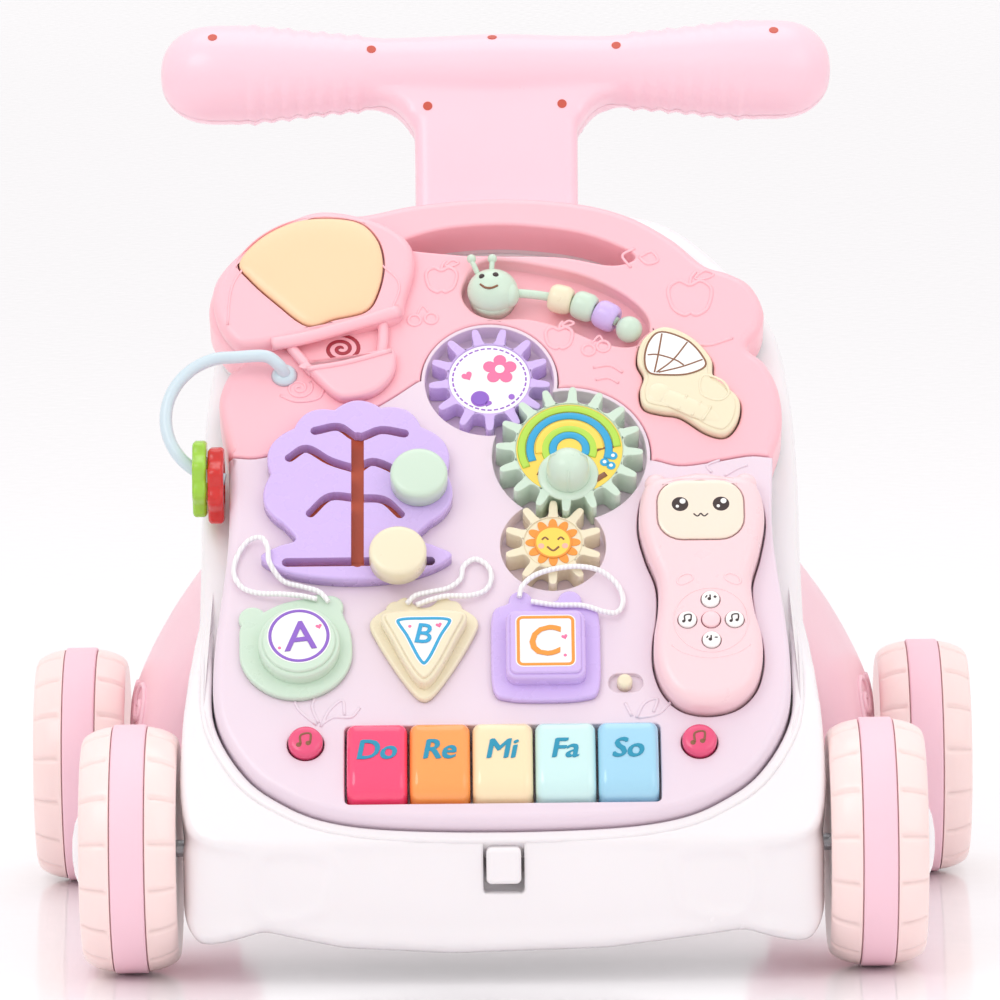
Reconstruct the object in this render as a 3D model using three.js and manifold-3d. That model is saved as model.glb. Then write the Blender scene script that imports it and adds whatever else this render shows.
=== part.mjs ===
// Baby walker: a rolling frame with a push handle and a lift-off play panel.
// Millimetres, +Z up. The origin is on the floor, midway between the axles.
// The play panel faces -Y and a walking child holds the handle from +Y.
import * as THREE from 'three';
import { mergeVertices } from 'three/addons/utils/BufferGeometryUtils.js';
import Module from 'manifold-3d';

const wasm = await Module();
wasm.setup();

// ---- driving dimensions -------------------------------------------------
const WHEELBASE = 265;
const FRONT_TRACK = 347;
const REAR_TRACK = 419;
const WHEEL_RADIUS = 58;
const WHEEL_WIDTH = 45;
const AXLE_RADIUS = 4;
const GAP = 0.3;
const WALL = 3;

const PANEL_LEAN = THREE.MathUtils.degToRad(51);
const PANEL_FOOT = new THREE.Vector3(0, -186.5, 80);
const PANEL_DEPTH = 22;
const FACE = 4;
const SHELL_FRONT = -26;
const SHELL_SPLIT = -85;
const SHELL_BACK = -108;
const SHELL_WALL = 4;
const REAR_FOOT = 78;

const STEM_LEAN = THREE.MathUtils.degToRad(-26.6);
const STEM_FOOT = new THREE.Vector3(0, 83.8, 321.7);
const BAR_HEIGHT = 90;

const GEAR_MODULE = 3.9;
const GEAR_FLOOR = -9.5;
const MINT_GEAR = { teeth: 16, at: [33, 196.5], top: 6 };
const LILAC_GEAR = { teeth: 13, at: [-4.47, 238.86], top: 2 };
const SUN_GEAR = { teeth: 10, at: [24.68, 146.49], top: 3 };

const BEAD_CENTRE = [4, 199];
const BEAD_ARC = 90;
const HOOP_CENTRE = [-127, 218, 2];
const HOOP_RADIUS = 31;
const HOOP_TILT = THREE.MathUtils.degToRad(13);
const HOOP_TUBE = 3;
const RING_HOLE = 9.5;

const KEY_PITCH = 29;
const KEY_LOW = 8;
const KEY_HIGH = 48.5;

// ---- colours ------------------------------------------------------------
const COLOURS = {
  white: '#faf6f6', pink: '#fbd4df', salmon: '#ffbfc6', lavender: '#f0ddeb',
  peach: '#ffd2cd', tread: '#f8ccdc', lilac: '#d9c2f5', mint: '#dcf0dc',
  cream: '#f5ebd2', hoop: '#d0e2e8', lime: '#c6f34a', red: '#f53a30',
  phone: '#fadadb', pad: '#fbe3ca', rose: '#f0608c', steel: '#b8bcc0',
  string: '#ffffff', board: '#3c8c50', cone: '#303030',
  do: '#ff4a7d', re: '#ffad60', mi: '#fce4be', fa: '#d7f1ee', so: '#a9daf2',
};

function finish(colour, roughness = 0.35, metalness = 0) {
  return new THREE.MeshStandardMaterial({ color: COLOURS[colour], roughness, metalness });
}

// ---- solids -------------------------------------------------------------
function solid(geometry) {
  const bare = geometry.index ? geometry.toNonIndexed() : geometry.clone();
  for (const name of Object.keys(bare.attributes)) {
    if (name !== 'position') bare.deleteAttribute(name);
  }
  const merged = mergeVertices(bare, 1e-3);
  const mesh = new wasm.Mesh({
    numProp: 3,
    vertProperties: new Float32Array(merged.attributes.position.array),
    triVerts: new Uint32Array(merged.index.array),
  });
  return new wasm.Manifold(mesh);
}

function surface(body) {
  const mesh = body.getMesh();
  const geometry = new THREE.BufferGeometry();
  geometry.setAttribute('position', new THREE.BufferAttribute(mesh.vertProperties, 3));
  geometry.setIndex(new THREE.BufferAttribute(mesh.triVerts, 1));
  geometry.computeVertexNormals();
  return geometry;
}

function joined(bodies) {
  return bodies.reduce((whole, body) => whole.add(body));
}

// A smooth closed outline through a few points.
function softOutline(points, count) {
  const curve = new THREE.CatmullRomCurve3(points.map(([x, y]) => new THREE.Vector3(x, y, 0)), true);
  const places = curve.getSpacedPoints(count).slice(0, count);
  return places.map((p) => [p.x, p.y]);
}

function mirroredOutline(half) {
  const other = half.filter(([x]) => x !== 0).map(([x, y]) => [-x, y]).reverse();
  return half.concat(other);
}

function plate(points, low, high) {
  const shape = new THREE.Shape(points.map(([x, y]) => new THREE.Vector2(x, y)));
  const geometry = new THREE.ExtrudeGeometry(shape, { depth: high - low, bevelEnabled: false });
  return solid(geometry.translate(0, 0, low));
}

function circle([x, y], radius, count = 24) {
  return Array.from({ length: count }, (_, i) => {
    const turn = (i / count) * 2 * Math.PI;
    return [x + radius * Math.cos(turn), y + radius * Math.sin(turn)];
  });
}

function roundedBox([x0, y0], [x1, y1], radius, steps = 3) {
  const corners = [[x1 - radius, y1 - radius, 0], [x0 + radius, y1 - radius, 1],
    [x0 + radius, y0 + radius, 2], [x1 - radius, y0 + radius, 3]];
  return corners.flatMap(([x, y, quarter]) => Array.from({ length: steps + 1 }, (_, i) => {
    const turn = (quarter + i / steps) * Math.PI / 2;
    return [x + radius * Math.cos(turn), y + radius * Math.sin(turn)];
  }));
}

function stretched(points, grow) {
  const xs = points.map((p) => p[0]);
  const ys = points.map((p) => p[1]);
  const middle = [(Math.max(...xs) + Math.min(...xs)) / 2, (Math.max(...ys) + Math.min(...ys)) / 2];
  const half = [(Math.max(...xs) - Math.min(...xs)) / 2, (Math.max(...ys) - Math.min(...ys)) / 2];
  return points.map((p) => [0, 1].map((k) => middle[k] + (p[k] - middle[k]) * (half[k] + grow) / half[k]));
}

function disc(at, radius, low, high, count = 24) {
  return plate(circle(at, radius, count), low, high);
}

function capsule([x0, y0], [x1, y1], width, steps = 3) {
  const turn = Math.atan2(y1 - y0, x1 - x0);
  const end = (x, y, start) => Array.from({ length: steps + 1 }, (_, i) => {
    const angle = start + (i / steps) * Math.PI;
    return [x + (width / 2) * Math.cos(angle), y + (width / 2) * Math.sin(angle)];
  });
  return end(x1, y1, turn - Math.PI / 2).concat(end(x0, y0, turn + Math.PI / 2));
}

function slots(routes, low, high) {
  return joined(routes.flatMap(({ points, width }) => points.slice(1).map(
    (point, i) => plate(capsule(points[i], point, width), low, high))));
}

function turned(profile, count) {
  return solid(new THREE.LatheGeometry(profile.map(([r, y]) => new THREE.Vector2(r, y)), count));
}

// A closed skin over a row of rings that all have the same number of points,
// wound outwards whichever way the rings run.
function loft(rings) {
  const count = rings[0].length;
  const places = rings.flat().flatMap((p) => [p.x, p.y, p.z]);
  const faces = [];
  for (let i = 0; i + 1 < rings.length; i += 1) {
    for (let j = 0; j < count; j += 1) {
      const a = i * count + j;
      const b = i * count + (j + 1) % count;
      faces.push(a, b, a + count, b, b + count, a + count);
    }
  }
  for (let j = 1; j + 1 < count; j += 1) {
    faces.push(0, j + 1, j);
    const last = (rings.length - 1) * count;
    faces.push(last, last + j, last + j + 1);
  }
  const geometry = new THREE.BufferGeometry();
  geometry.setAttribute('position', new THREE.BufferAttribute(new Float32Array(places), 3));
  geometry.setIndex(faces);
  const body = solid(geometry);
  if (body.volume() > 0) return body;
  geometry.setIndex(faces.reverse());
  return solid(geometry);
}

function box(low, high) {
  const size = high.map((value, k) => value - low[k]);
  const middle = high.map((value, k) => (value + low[k]) / 2);
  return solid(new THREE.BoxGeometry(...size).translate(...middle));
}

// A rod along X.
function rodX(radius, x0, x1, y, z, count = 16) {
  const geometry = new THREE.CylinderGeometry(radius, radius, Math.abs(x1 - x0), count);
  return solid(geometry.rotateZ(Math.PI / 2).translate((x0 + x1) / 2, y, z));
}

function tube(points, radius, steps, sides = 8) {
  const path = new THREE.CatmullRomCurve3(points);
  const section = new THREE.Shape(circle([0, 0], radius, sides).map(([x, y]) => new THREE.Vector2(x, y)));
  return new THREE.ExtrudeGeometry(section, { steps, extrudePath: path, bevelEnabled: false });
}

// ---- the assembly -------------------------------------------------------
const walker = new THREE.Group();
const panelFrame = new THREE.Group();
panelFrame.position.copy(PANEL_FOOT);
panelFrame.rotation.x = PANEL_LEAN;
walker.add(panelFrame);
const handleFrame = new THREE.Group();
handleFrame.position.copy(STEM_FOOT);
handleFrame.rotation.x = STEM_LEAN;
walker.add(handleFrame);

function place(name, shape, material, parent = panelFrame) {
  const geometry = shape.isBufferGeometry ? shape : surface(shape);
  const mesh = new THREE.Mesh(geometry, material);
  mesh.name = name;
  parent.add(mesh);
  return mesh;
}

// Moves a solid from the walker's frame into the leaning panel's frame.
function intoPanel(body) {
  panelFrame.updateMatrixWorld(true);
  const back = panelFrame.matrixWorld.clone().invert();
  return solid(surface(body).applyMatrix4(back));
}

function outOfPanel(body) {
  panelFrame.updateMatrixWorld(true);
  return solid(surface(body).applyMatrix4(panelFrame.matrixWorld));
}

// ---- white body shells --------------------------------------------------
const SHELL_OUTLINE = softOutline(mirroredOutline([
  [0, 358], [45, 357], [76, 352], [98, 337], [120, 310], [134, 284], [140, 246],
  [142, 206], [142, 156], [143, 111], [147, 78], [148, 50], [140, 26], [60, 24], [0, 24],
]), 56);
const APRON_SIDE = [[-178, 16], [-185, 30], [-186, 55], [-184, 67], [-171, 58], [-128.6, 110],
  [-109.7, 133.5], [-70, 100], [-62, 60], [-75, 30], [-110, 16]];
const APRON_HOLLOW = [[-175, 20], [-181, 31], [-182, 54], [-180.5, 60], [-171.5, 53], [-126, 105],
  [-107, 127], [-75, 98], [-67, 60], [-80, 33], [-107, 20]];
const APRON_HALF = 148;

function prismX(side, half) {
  return solid(surface(plate(side, -half, half)).applyMatrix4(new THREE.Matrix4().set(
    0, 0, 1, 0, 1, 0, 0, 0, 0, 1, 0, 0, 0, 0, 0, 1)));
}

function stemBody(grow) {
  const outline = [[-40, -58], [-40, 58], [-46, 68], [-58, 75], [-58, 90],
    [58, 90], [58, 75], [46, 68], [40, 58], [40, -58]];
  const wide = outline.map(([x, z]) => [x + Math.sign(x) * grow, z + (z < 0 ? -grow : grow)]);
  const flat = surface(plate(wide, -13 - grow, 13 + grow));
  return solid(flat.rotateX(Math.PI / 2));
}

function handlePlug(grow) {
  handleFrame.updateMatrixWorld(true);
  return solid(surface(stemBody(grow)).applyMatrix4(handleFrame.matrixWorld));
}

function frontShell() {
  const tray = plate(SHELL_OUTLINE, SHELL_SPLIT, SHELL_FRONT);
  const hollow = plate(stretched(SHELL_OUTLINE, -SHELL_WALL), SHELL_SPLIT - 1, SHELL_FRONT - SHELL_WALL);
  const walls = intoPanel(prismX(APRON_SIDE, APRON_HALF));
  const inside = intoPanel(prismX(APRON_HOLLOW, APRON_HALF - SHELL_WALL));
  const shell = outOfPanel(tray.add(walls).subtract(hollow).subtract(inside));
  const axleHole = rodX(AXLE_RADIUS + GAP, -160, 160, -WHEELBASE / 2, WHEEL_RADIUS);
  const latchHousing = box([-12.5, -184, 41], [12.5, -174, 69]).intersect(prismX(APRON_SIDE, APRON_HALF));
  const latchWindow = box([-9.5, -192, 44], [9.5, -177, 66]);
  return shell.add(latchHousing).subtract(axleHole).subtract(latchWindow).subtract(handlePlug(GAP));
}

// The part of the back that stands clear above the apron.
function backAbove(v) {
  return plate([[-160, v], [160, v], [160, 400], [-160, 400]], SHELL_BACK - 1, SHELL_SPLIT + 2);
}

function rearShell() {
  const tray = plate(SHELL_OUTLINE, SHELL_BACK, SHELL_SPLIT - GAP).intersect(backAbove(REAR_FOOT));
  const hollow = plate(stretched(SHELL_OUTLINE, -SHELL_WALL), SHELL_BACK + SHELL_WALL, SHELL_SPLIT + 1)
    .intersect(backAbove(REAR_FOOT + SHELL_WALL));
  const apron = prismX(stretched(APRON_SIDE, GAP), APRON_HALF + GAP);
  return outOfPanel(tray.subtract(hollow)).subtract(apron).subtract(handlePlug(GAP));
}

// ---- rear legs ----------------------------------------------------------
function legRing([x, y, z], wide, tall, side) {
  const lean = Math.PI / 4;
  return circle([0, 0], 1, 16).map(([a, b]) => {
    const across = Math.sign(a) * Math.abs(a) ** 0.6 * wide / 2;
    const along = Math.sign(b) * Math.abs(b) ** 0.6 * tall / 2;
    return new THREE.Vector3(side * (x + across), y + along * Math.sin(lean), z + along * Math.cos(lean));
  });
}

function legLoft(side, trim) {
  const stations = [[[110, -22, 172], 40, 72], [[122, 26, 152], 44, 68], [[138, 68, 121], 50, 62],
    [[152, 104, 84], 52, 58], [[156, 122, 66], 50, 52]];
  const rings = stations.map(([at, wide, tall]) => legRing(at, wide - trim, tall - trim, side));
  return loft(rings);
}

function leg(side) {
  const rearY = WHEELBASE / 2;
  const boss = rodX(25, side * 132, side * 184, rearY, WHEEL_RADIUS, 24);
  const body = legLoft(side, 0).add(boss);
  const keepOut = outOfPanel(plate(stretched(SHELL_OUTLINE, GAP), SHELL_BACK - GAP, SHELL_FRONT));
  const stub = rodX(AXLE_RADIUS + 1, side * 176, side * 231, rearY, WHEEL_RADIUS);
  return body.subtract(legLoft(side, 7)).subtract(keepOut).add(stub);
}

// ---- handle -------------------------------------------------------------
function barLoft(trim) {
  const half = [[0, 19], [30, 18], [57, 17.5], [97, 21], [115, 23], [140, 24.5], [152.5, 22],
    [160.5, 17], [165, 9]];
  const stations = half.slice(1).reverse().map(([x, r]) => [-x, r]).concat(half);
  const rings = stations.map(([x, r]) => circle([0, 0], r - trim, 12).map(
    ([y, z]) => new THREE.Vector3(x * (1 - trim / 170), y, z + BAR_HEIGHT)));
  return loft(rings);
}

function handleHalf(front) {
  const skin = barLoft(0).add(stemBody(0));
  const hollow = barLoft(WALL).add(stemBody(-WALL));
  const keep = front ? box([-200, -60, -80], [200, -GAP / 2, 160]) : box([-200, GAP / 2, -80], [200, 60, 160]);
  return skin.subtract(hollow).intersect(keep);
}

// ---- wheels -------------------------------------------------------------
const WHEEL_SIDES = 24;
const FLAT_RADIUS = 1 / Math.cos(Math.PI / WHEEL_SIDES);

function wheelBody(bore) {
  const half = WHEEL_WIDTH / 2;
  const rim = (WHEEL_RADIUS - 1.2) * FLAT_RADIUS;
  const groove = (WHEEL_RADIUS - 3.3) * FLAT_RADIUS;
  const profile = [[bore, -half], [16, -half], [17, -5], [49, -5], [50, -half], [rim, -half + 2],
    [rim, -8], [groove, -8], [groove, 8], [rim, 8], [rim, half - 2], [50, half], [49, 5], [17, 5],
    [16, half], [bore, half], [bore, -half]];
  return turned(profile, WHEEL_SIDES);
}

function treadBand() {
  const inner = (WHEEL_RADIUS - 3) * FLAT_RADIUS;
  const outer = WHEEL_RADIUS * FLAT_RADIUS;
  return turned([[inner, -7.7], [outer, -7.7], [outer, 7.7], [inner, 7.7], [inner, -7.7]], WHEEL_SIDES);
}

function addWheel(name, x, y, bore) {
  const hub = new THREE.Group();
  hub.position.set(x, y, WHEEL_RADIUS);
  hub.rotation.set(Math.PI / WHEEL_SIDES, 0, Math.PI / 2);
  walker.add(hub);
  place(`${name}_wheel`, wheelBody(bore), finish('peach'), hub);
  place(`${name}_tread`, treadBand(), finish('tread', 0.6), hub);
}

// ---- play panel housing -------------------------------------------------
const PANEL_OUTLINE = softOutline([
  [129, 190], [134, 214], [133, 234], [127, 249], [119, 258], [125, 268], [127, 280], [121, 294],
  [111, 301], [99, 306], [84, 321], [63, 335], [37, 343], [0, 346], [-37, 343], [-64, 337],
  [-87, 335], [-108, 326], [-125, 311], [-136, 295], [-138, 278], [-131, 262], [-122, 253],
  [-129, 245], [-133, 231], [-131, 214], [-128, 200], [-128, 150], [-134, 88], [-132, 54],
  [-118, 27], [-100, 12], [-80, 3], [-50, -1.5], [0, -3], [50, -1.5], [80, 3], [100, 12],
  [118, 27], [132, 54], [134, 88], [128, 150],
], 76);
const BORDER = [[-160, 197], [-112, 197], [-88, 206], [-56, 226], [-37, 239], [-4, 239], [33, 196],
  [72, 193], [88, 190], [116, 195], [160, 197]];
const BALLOON = softOutline([[-87, 334], [-65, 331], [-49, 323], [-41, 313], [-40, 300], [-44, 284],
  [-48, 272], [-70, 266], [-92, 261], [-108, 257], [-122, 256], [-131, 265], [-136, 280],
  [-135, 294], [-125, 309], [-108, 324]], 32);
const BALLOON_PAD = softOutline([[-118, 306], [-108, 319], [-90, 329], [-69, 328], [-60, 317],
  [-56, 302], [-58, 288], [-64, 276], [-78, 270], [-91, 268], [-104, 282], [-115, 297]], 28);
const BEAD_POCKET = softOutline([[-17, 292], [-9, 306], [4, 308], [28, 303], [45, 297], [61, 287],
  [71, 275], [71, 263], [61, 258], [46, 262], [32, 269], [14, 274.5], [-4, 275], [-14, 281]], 30);
const BUTTERFLY = softOutline([[79, 267], [69, 260], [66, 248], [69, 239], [67, 230], [69, 222],
  [77, 219], [86, 217], [98, 208], [107, 206], [113, 214], [114, 225], [108, 233], [102, 239],
  [101, 249], [92, 261]], 32);
const PHONE = softOutline([[94, 181], [106, 179], [116, 178], [122, 171], [124, 156], [121, 138],
  [117, 122], [118, 106], [121, 92], [121, 78], [117, 65], [108, 56], [95, 53], [83, 56],
  [75, 65], [71, 78], [71, 92], [73, 106], [73, 122], [68, 138], [65, 154], [67, 171], [73, 178],
  [82, 179]], 40);
const CARRY_SLOT = softOutline([[-48, 317], [-20, 312], [0, 311], [30, 310], [55, 305], [66, 310],
  [50, 320], [30, 326], [0, 329], [-30, 326]], 24);
const ROUND_BUTTONS = { left_round_button: [-91, 39.5], right_round_button: [91, 38.5] };
const SWITCH_AT = [57.5, 71];
const SPEAKER_AT = [-75, 257];

function gearTip({ teeth }) {
  return GEAR_MODULE * (teeth / 2 + 0.9);
}

function gearWells(grow, low) {
  return joined([MINT_GEAR, LILAC_GEAR, SUN_GEAR].map(
    (gear) => disc(gear.at, gearTip(gear) + 1.8 + grow, low, 1, 24)));
}

function region(above, shift) {
  const far = above ? 400 : -60;
  const line = BORDER.map(([u, v]) => [u, v + shift]);
  return plate(line.concat([[160, far], [-160, far]]), -PANEL_DEPTH - 5, 20);
}

const PUZZLE = [
  { name: 'circle', colour: 'mint' },
  { name: 'triangle', colour: 'cream' },
  { name: 'square', colour: 'lilac' },
];
const BLOCK_OUTLINES = {
  circle: circle([-94, 89], 19, 20),
  triangle: softOutline([[-55, 104], [-36, 106], [-17, 104], [-20, 92], [-36, 66], [-52, 92]], 24),
  square: roundedBox([2, 68], [39, 105], 5),
};
const FLANGE_OUTLINES = {
  circle: softOutline([[-122, 92], [-121, 103], [-112, 109], [-103, 114], [-92, 117], [-84, 119],
    [-76, 114], [-73, 106], [-70, 97], [-70, 82], [-77, 70], [-90, 63], [-104, 64], [-115, 71],
    [-121, 81]], 30),
  triangle: softOutline([[-61, 104], [-52, 112], [-45, 117], [-39, 112], [-33, 112], [-27, 117],
    [-20, 112], [-11, 104], [-14, 93], [-27, 70], [-36, 61], [-45, 70], [-58, 93]], 30),
  square: softOutline([[-4, 108], [3, 113], [9, 119], [16, 114], [25, 114], [32, 119], [38, 113],
    [45, 108], [46, 88], [45, 66], [38, 61], [20, 60], [3, 61], [-4, 66], [-5, 88]], 32),
};

function panelShells() {
  const walls = plate(PANEL_OUTLINE, -PANEL_DEPTH, 0);
  const hollow = plate(stretched(PANEL_OUTLINE, -WALL), -PANEL_DEPTH - 1, -FACE);
  const bosses = joined([
    gearWells(2, -12),
    plate(roundedBox([-75.5, KEY_LOW - 3], [75.5, KEY_HIGH + 3], 4), -16, -1),
    plate(stretched(PHONE, 2.5), -11, -1),
    joined(PUZZLE.map(({ name }) => plate(stretched(BLOCK_OUTLINES[name], 3), -9, -1))),
  ]);
  const wells = joined([
    gearWells(0, GEAR_FLOOR),
    plate(roundedBox([-73, KEY_LOW - 0.5], [73, KEY_HIGH + 0.5], 2), -13, 1),
    plate(stretched(PHONE, 0.8), -8, 1),
    joined(PUZZLE.map(({ name }) => plate(stretched(BLOCK_OUTLINES[name], 0.6), -6, 1))),
    ...Object.values(ROUND_BUTTONS).map((at) => disc(at, 8.6, -9, 1)),
    plate(roundedBox([SWITCH_AT[0] - 8, SWITCH_AT[1] - 5], [SWITCH_AT[0] + 8, SWITCH_AT[1] + 5], 4.5), -2.5, 1),
  ]);
  const posts = joined([MINT_GEAR, LILAC_GEAR, SUN_GEAR].map(
    (gear) => disc(gear.at, 3, -11, gear.top - 3, 12)));
  const whole = walls.subtract(hollow);
  const wellZone = gearWells(2, -30).add(plate(stretched(PHONE, 2.5), -30, 1));
  const lower = whole.intersect(region(false, 0)).add(bosses.intersect(plate(PANEL_OUTLINE, -20, 0)))
    .subtract(wells).add(posts);
  const pocketBoss = plate(stretched(BEAD_POCKET, 2), -11, -1);
  const relief = plate(BALLOON, -2, 7);
  const slotWall = plate(stretched(CARRY_SLOT, 2.5), -PANEL_DEPTH, -1);
  const holes = joined([
    plate(BEAD_POCKET, GEAR_FLOOR + 1, 1),
    plate(stretched(BALLOON_PAD, 0.5), 1.8, 10),
    plate(stretched(BUTTERFLY, 0.6), -9, 1),
    plate(CARRY_SLOT, -PANEL_DEPTH - 5, 1),
    joined([-6, 0, 6].map((shift) => plate(capsule([SPEAKER_AT[0] - 5, SPEAKER_AT[1] + shift],
      [SPEAKER_AT[0] + 5, SPEAKER_AT[1] + shift], 2), -9, 8))),
  ]);
  const clearance = joined([
    disc(MINT_GEAR.at, gearTip(MINT_GEAR) + 4.1, -30, 20, 24),
    disc(LILAC_GEAR.at, gearTip(LILAC_GEAR) + 4.1, -30, 20, 24),
    disc(SUN_GEAR.at, gearTip(SUN_GEAR) + 4.1, -30, 20, 24),
    plate(stretched(PHONE, 2.8), -30, 20),
  ]);
  const upper = whole.add(slotWall).intersect(region(true, GAP)).add(pocketBoss).add(relief)
    .subtract(holes).subtract(clearance);
  return { lower: lower.subtract(wellZone.intersect(plate(PANEL_OUTLINE, -30, -12.01))), upper };
}

function panelBack() {
  const cover = plate(stretched(PANEL_OUTLINE, -1.5), -25.7, -PANEL_DEPTH - GAP);
  const slot = plate(stretched(CARRY_SLOT, 0.5), -30, 1);
  return cover.subtract(slot).subtract(plate(roundedBox([-40, 120], [40, 180], 4), -30, 1));
}

// ---- gears --------------------------------------------------------------
function gearOutline(gear, towards) {
  const tip = gearTip(gear);
  const root = GEAR_MODULE * (gear.teeth / 2 - 1.15);
  const pitch = 2 * Math.PI / gear.teeth;
  const edges = [[-0.26, root], [-0.1, tip], [0.1, tip], [0.26, root]];
  return Array.from({ length: gear.teeth }, (_, i) => edges.map(([share, radius]) => {
    const turn = towards + (i + share) * pitch;
    return [gear.at[0] + radius * Math.cos(turn), gear.at[1] + radius * Math.sin(turn)];
  })).flat();
}

// The angle of a tooth on the mint gear, and matching spaces on the others.
function meshAngle(from, to) {
  return Math.atan2(to.at[1] - from.at[1], to.at[0] - from.at[0]);
}

function gearBody(gear, towards) {
  const blank = plate(gearOutline(gear, towards), GEAR_FLOOR + GAP, gear.top);
  return blank.subtract(disc(gear.at, 3.4, -20, gear.top - 2, 12));
}

const MINT_ANGLE = meshAngle(MINT_GEAR, LILAC_GEAR);
const MINT_PITCH = 2 * Math.PI / MINT_GEAR.teeth;
// How far the mint gear's nearest tooth stands from the line to the sun gear.
const SUN_LINE = meshAngle(MINT_GEAR, SUN_GEAR);
const SUN_OFFSET = ((SUN_LINE - MINT_ANGLE) % MINT_PITCH) * MINT_GEAR.teeth / SUN_GEAR.teeth;
const LILAC_ANGLE = MINT_ANGLE + Math.PI + Math.PI / LILAC_GEAR.teeth;
const SUN_ANGLE = SUN_LINE + Math.PI + Math.PI / SUN_GEAR.teeth + SUN_OFFSET;

function gearKnob() {
  const profile = [[0, 0], [10.3, 0], [10.3, 5], [9.6, 8.5], [7.8, 11.5], [5, 13.6], [2, 14.5], [0, 14.6]];
  const dome = surface(turned(profile, 20)).rotateX(Math.PI / 2);
  return solid(dome.translate(MINT_GEAR.at[0] - 0.8, MINT_GEAR.at[1] - 14.5, MINT_GEAR.top + GAP));
}

// ---- tree maze ----------------------------------------------------------
const TREE_TOP = 7.5;
const TREE_JOINTS = [[-33, 156], [-25, 183], [-37, 209], [-56, 220], [-78, 219], [-97, 209],
  [-108, 183], [-102, 156]];
const TREE_FOOT = [[-96, 147], [-105, 143], [-112, 137], [-96, 128], [-68, 124.5], [-40, 128],
  [-23, 137], [-31, 143], [-40, 147]];
const TREE_SLOTS = [
  { points: [[-67, 134], [-67, 203]], width: 6 },
  { points: [[-87, 207], [-76, 209], [-67, 203], [-56, 207], [-45, 205]], width: 4.6 },
  { points: [[-99, 192], [-91, 197], [-80, 190], [-67, 185]], width: 4.6 },
  { points: [[-67, 185], [-58, 189], [-38, 177]], width: 4.6 },
  { points: [[-89, 161], [-80, 170], [-67, 169]], width: 4.6 },
  { points: [[-67, 169], [-55, 168], [-47, 160]], width: 4.6 },
  { points: [[-100, 134], [-33, 134]], width: 4.8 },
];

function scallops(joints, bulge, steps) {
  return joints.slice(1).flatMap((end, i) => {
    const start = joints[i];
    const way = [end[0] - start[0], end[1] - start[1]];
    const peak = [(start[0] + end[0]) / 2 + way[1] * bulge, (start[1] + end[1]) / 2 - way[0] * bulge];
    return Array.from({ length: steps }, (_, k) => {
      const t = k / steps;
      return [0, 1].map((n) => (1 - t) ** 2 * start[n] + 2 * t * (1 - t) * peak[n] + t * t * end[n]);
    });
  }).concat([joints[joints.length - 1]]);
}

function treePlate() {
  const outline = scallops(TREE_JOINTS, 0.45, 5).concat(TREE_FOOT);
  return plate(outline, GAP, TREE_TOP).subtract(slots(TREE_SLOTS, -1, TREE_TOP + 1));
}

function treeKnob(at) {
  const cap = disc(at, 13.5, TREE_TOP + GAP, TREE_TOP + 11, 24);
  return cap.add(disc(at, 1.9, GAP + 0.5, TREE_TOP + 2, 10));
}

// ---- bead worm ----------------------------------------------------------
function onBeadArc(degrees) {
  const turn = THREE.MathUtils.degToRad(degrees);
  return new THREE.Vector3(BEAD_CENTRE[0] + BEAD_ARC * Math.sin(turn), BEAD_CENTRE[1] + BEAD_ARC * Math.cos(turn), 0);
}

function wormHead() {
  const dome = [[0, -8.2], [11.5, -8.2], [11.8, 2], [10, 6], [6, 8.6], [0, 9.4]];
  const head = solid(surface(turned(dome, 20)).rotateX(Math.PI / 2).translate(-2.5, 290, 0));
  const rod = solid(tube([1, 8, 16, 24, 30, 35.9].map(onBeadArc), 2.2, 10));
  return head.add(rod);
}

function addBead(name, degrees, colour) {
  const profile = [[2.7, -4.6], [5, -5.6], [6.6, -3.4], [7, 0], [6.6, 3.4], [5, 5.6], [2.7, 4.6], [2.7, -4.6]];
  const bead = place(name, turned(profile, 12), finish(colour));
  bead.position.copy(onBeadArc(degrees));
  bead.rotation.z = -THREE.MathUtils.degToRad(degrees) - Math.PI / 2;
}

function wormTail() {
  const tail = new THREE.SphereGeometry(6.4, 12, 8).translate(...onBeadArc(40.5).toArray());
  return solid(tail);
}

// ---- hoop and rings -----------------------------------------------------
function onHoop(degrees) {
  const turn = THREE.MathUtils.degToRad(degrees);
  const [u, v, w] = HOOP_CENTRE;
  const rise = HOOP_RADIUS * Math.sin(turn);
  const along = HOOP_RADIUS * Math.cos(turn);
  return new THREE.Vector3(u + along, v + rise * Math.cos(HOOP_TILT), w + rise * Math.sin(HOOP_TILT));
}

function beadHoop() {
  const entry = [[-102, 243, 1.2], [-102.3, 243.1, 3.6], [-105, 245, 7.5], [-111, 247.8, 10]].map((p) => new THREE.Vector3(...p));
  const arc = [85, 105, 125, 145, 165, 185, 205, 225, 245, 264.6].map(onHoop);
  return tube(entry.concat(arc), HOOP_TUBE, 26, 8);
}

function addRing(name, x, drop, thickness, bumps, colour) {
  const outline = Array.from({ length: bumps * 4 }, (_, i) => {
    const turn = (i / (bumps * 4)) * 2 * Math.PI;
    const radius = 17.8 + 1.2 * Math.cos(turn * bumps);
    return [radius * Math.cos(turn), radius * Math.sin(turn)];
  });
  const band = plate(outline, -thickness / 2, thickness / 2).subtract(disc([0, 0], RING_HOLE, -9, 9, 20));
  const hoopFrame = new THREE.Group();
  hoopFrame.position.set(...HOOP_CENTRE);
  hoopFrame.rotation.x = HOOP_TILT;
  panelFrame.add(hoopFrame);
  const ring = place(name, band, finish(colour, 0.3), hoopFrame);
  ring.position.set(x, drop, 0);
  ring.rotation.y = Math.PI / 2;
}

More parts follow.
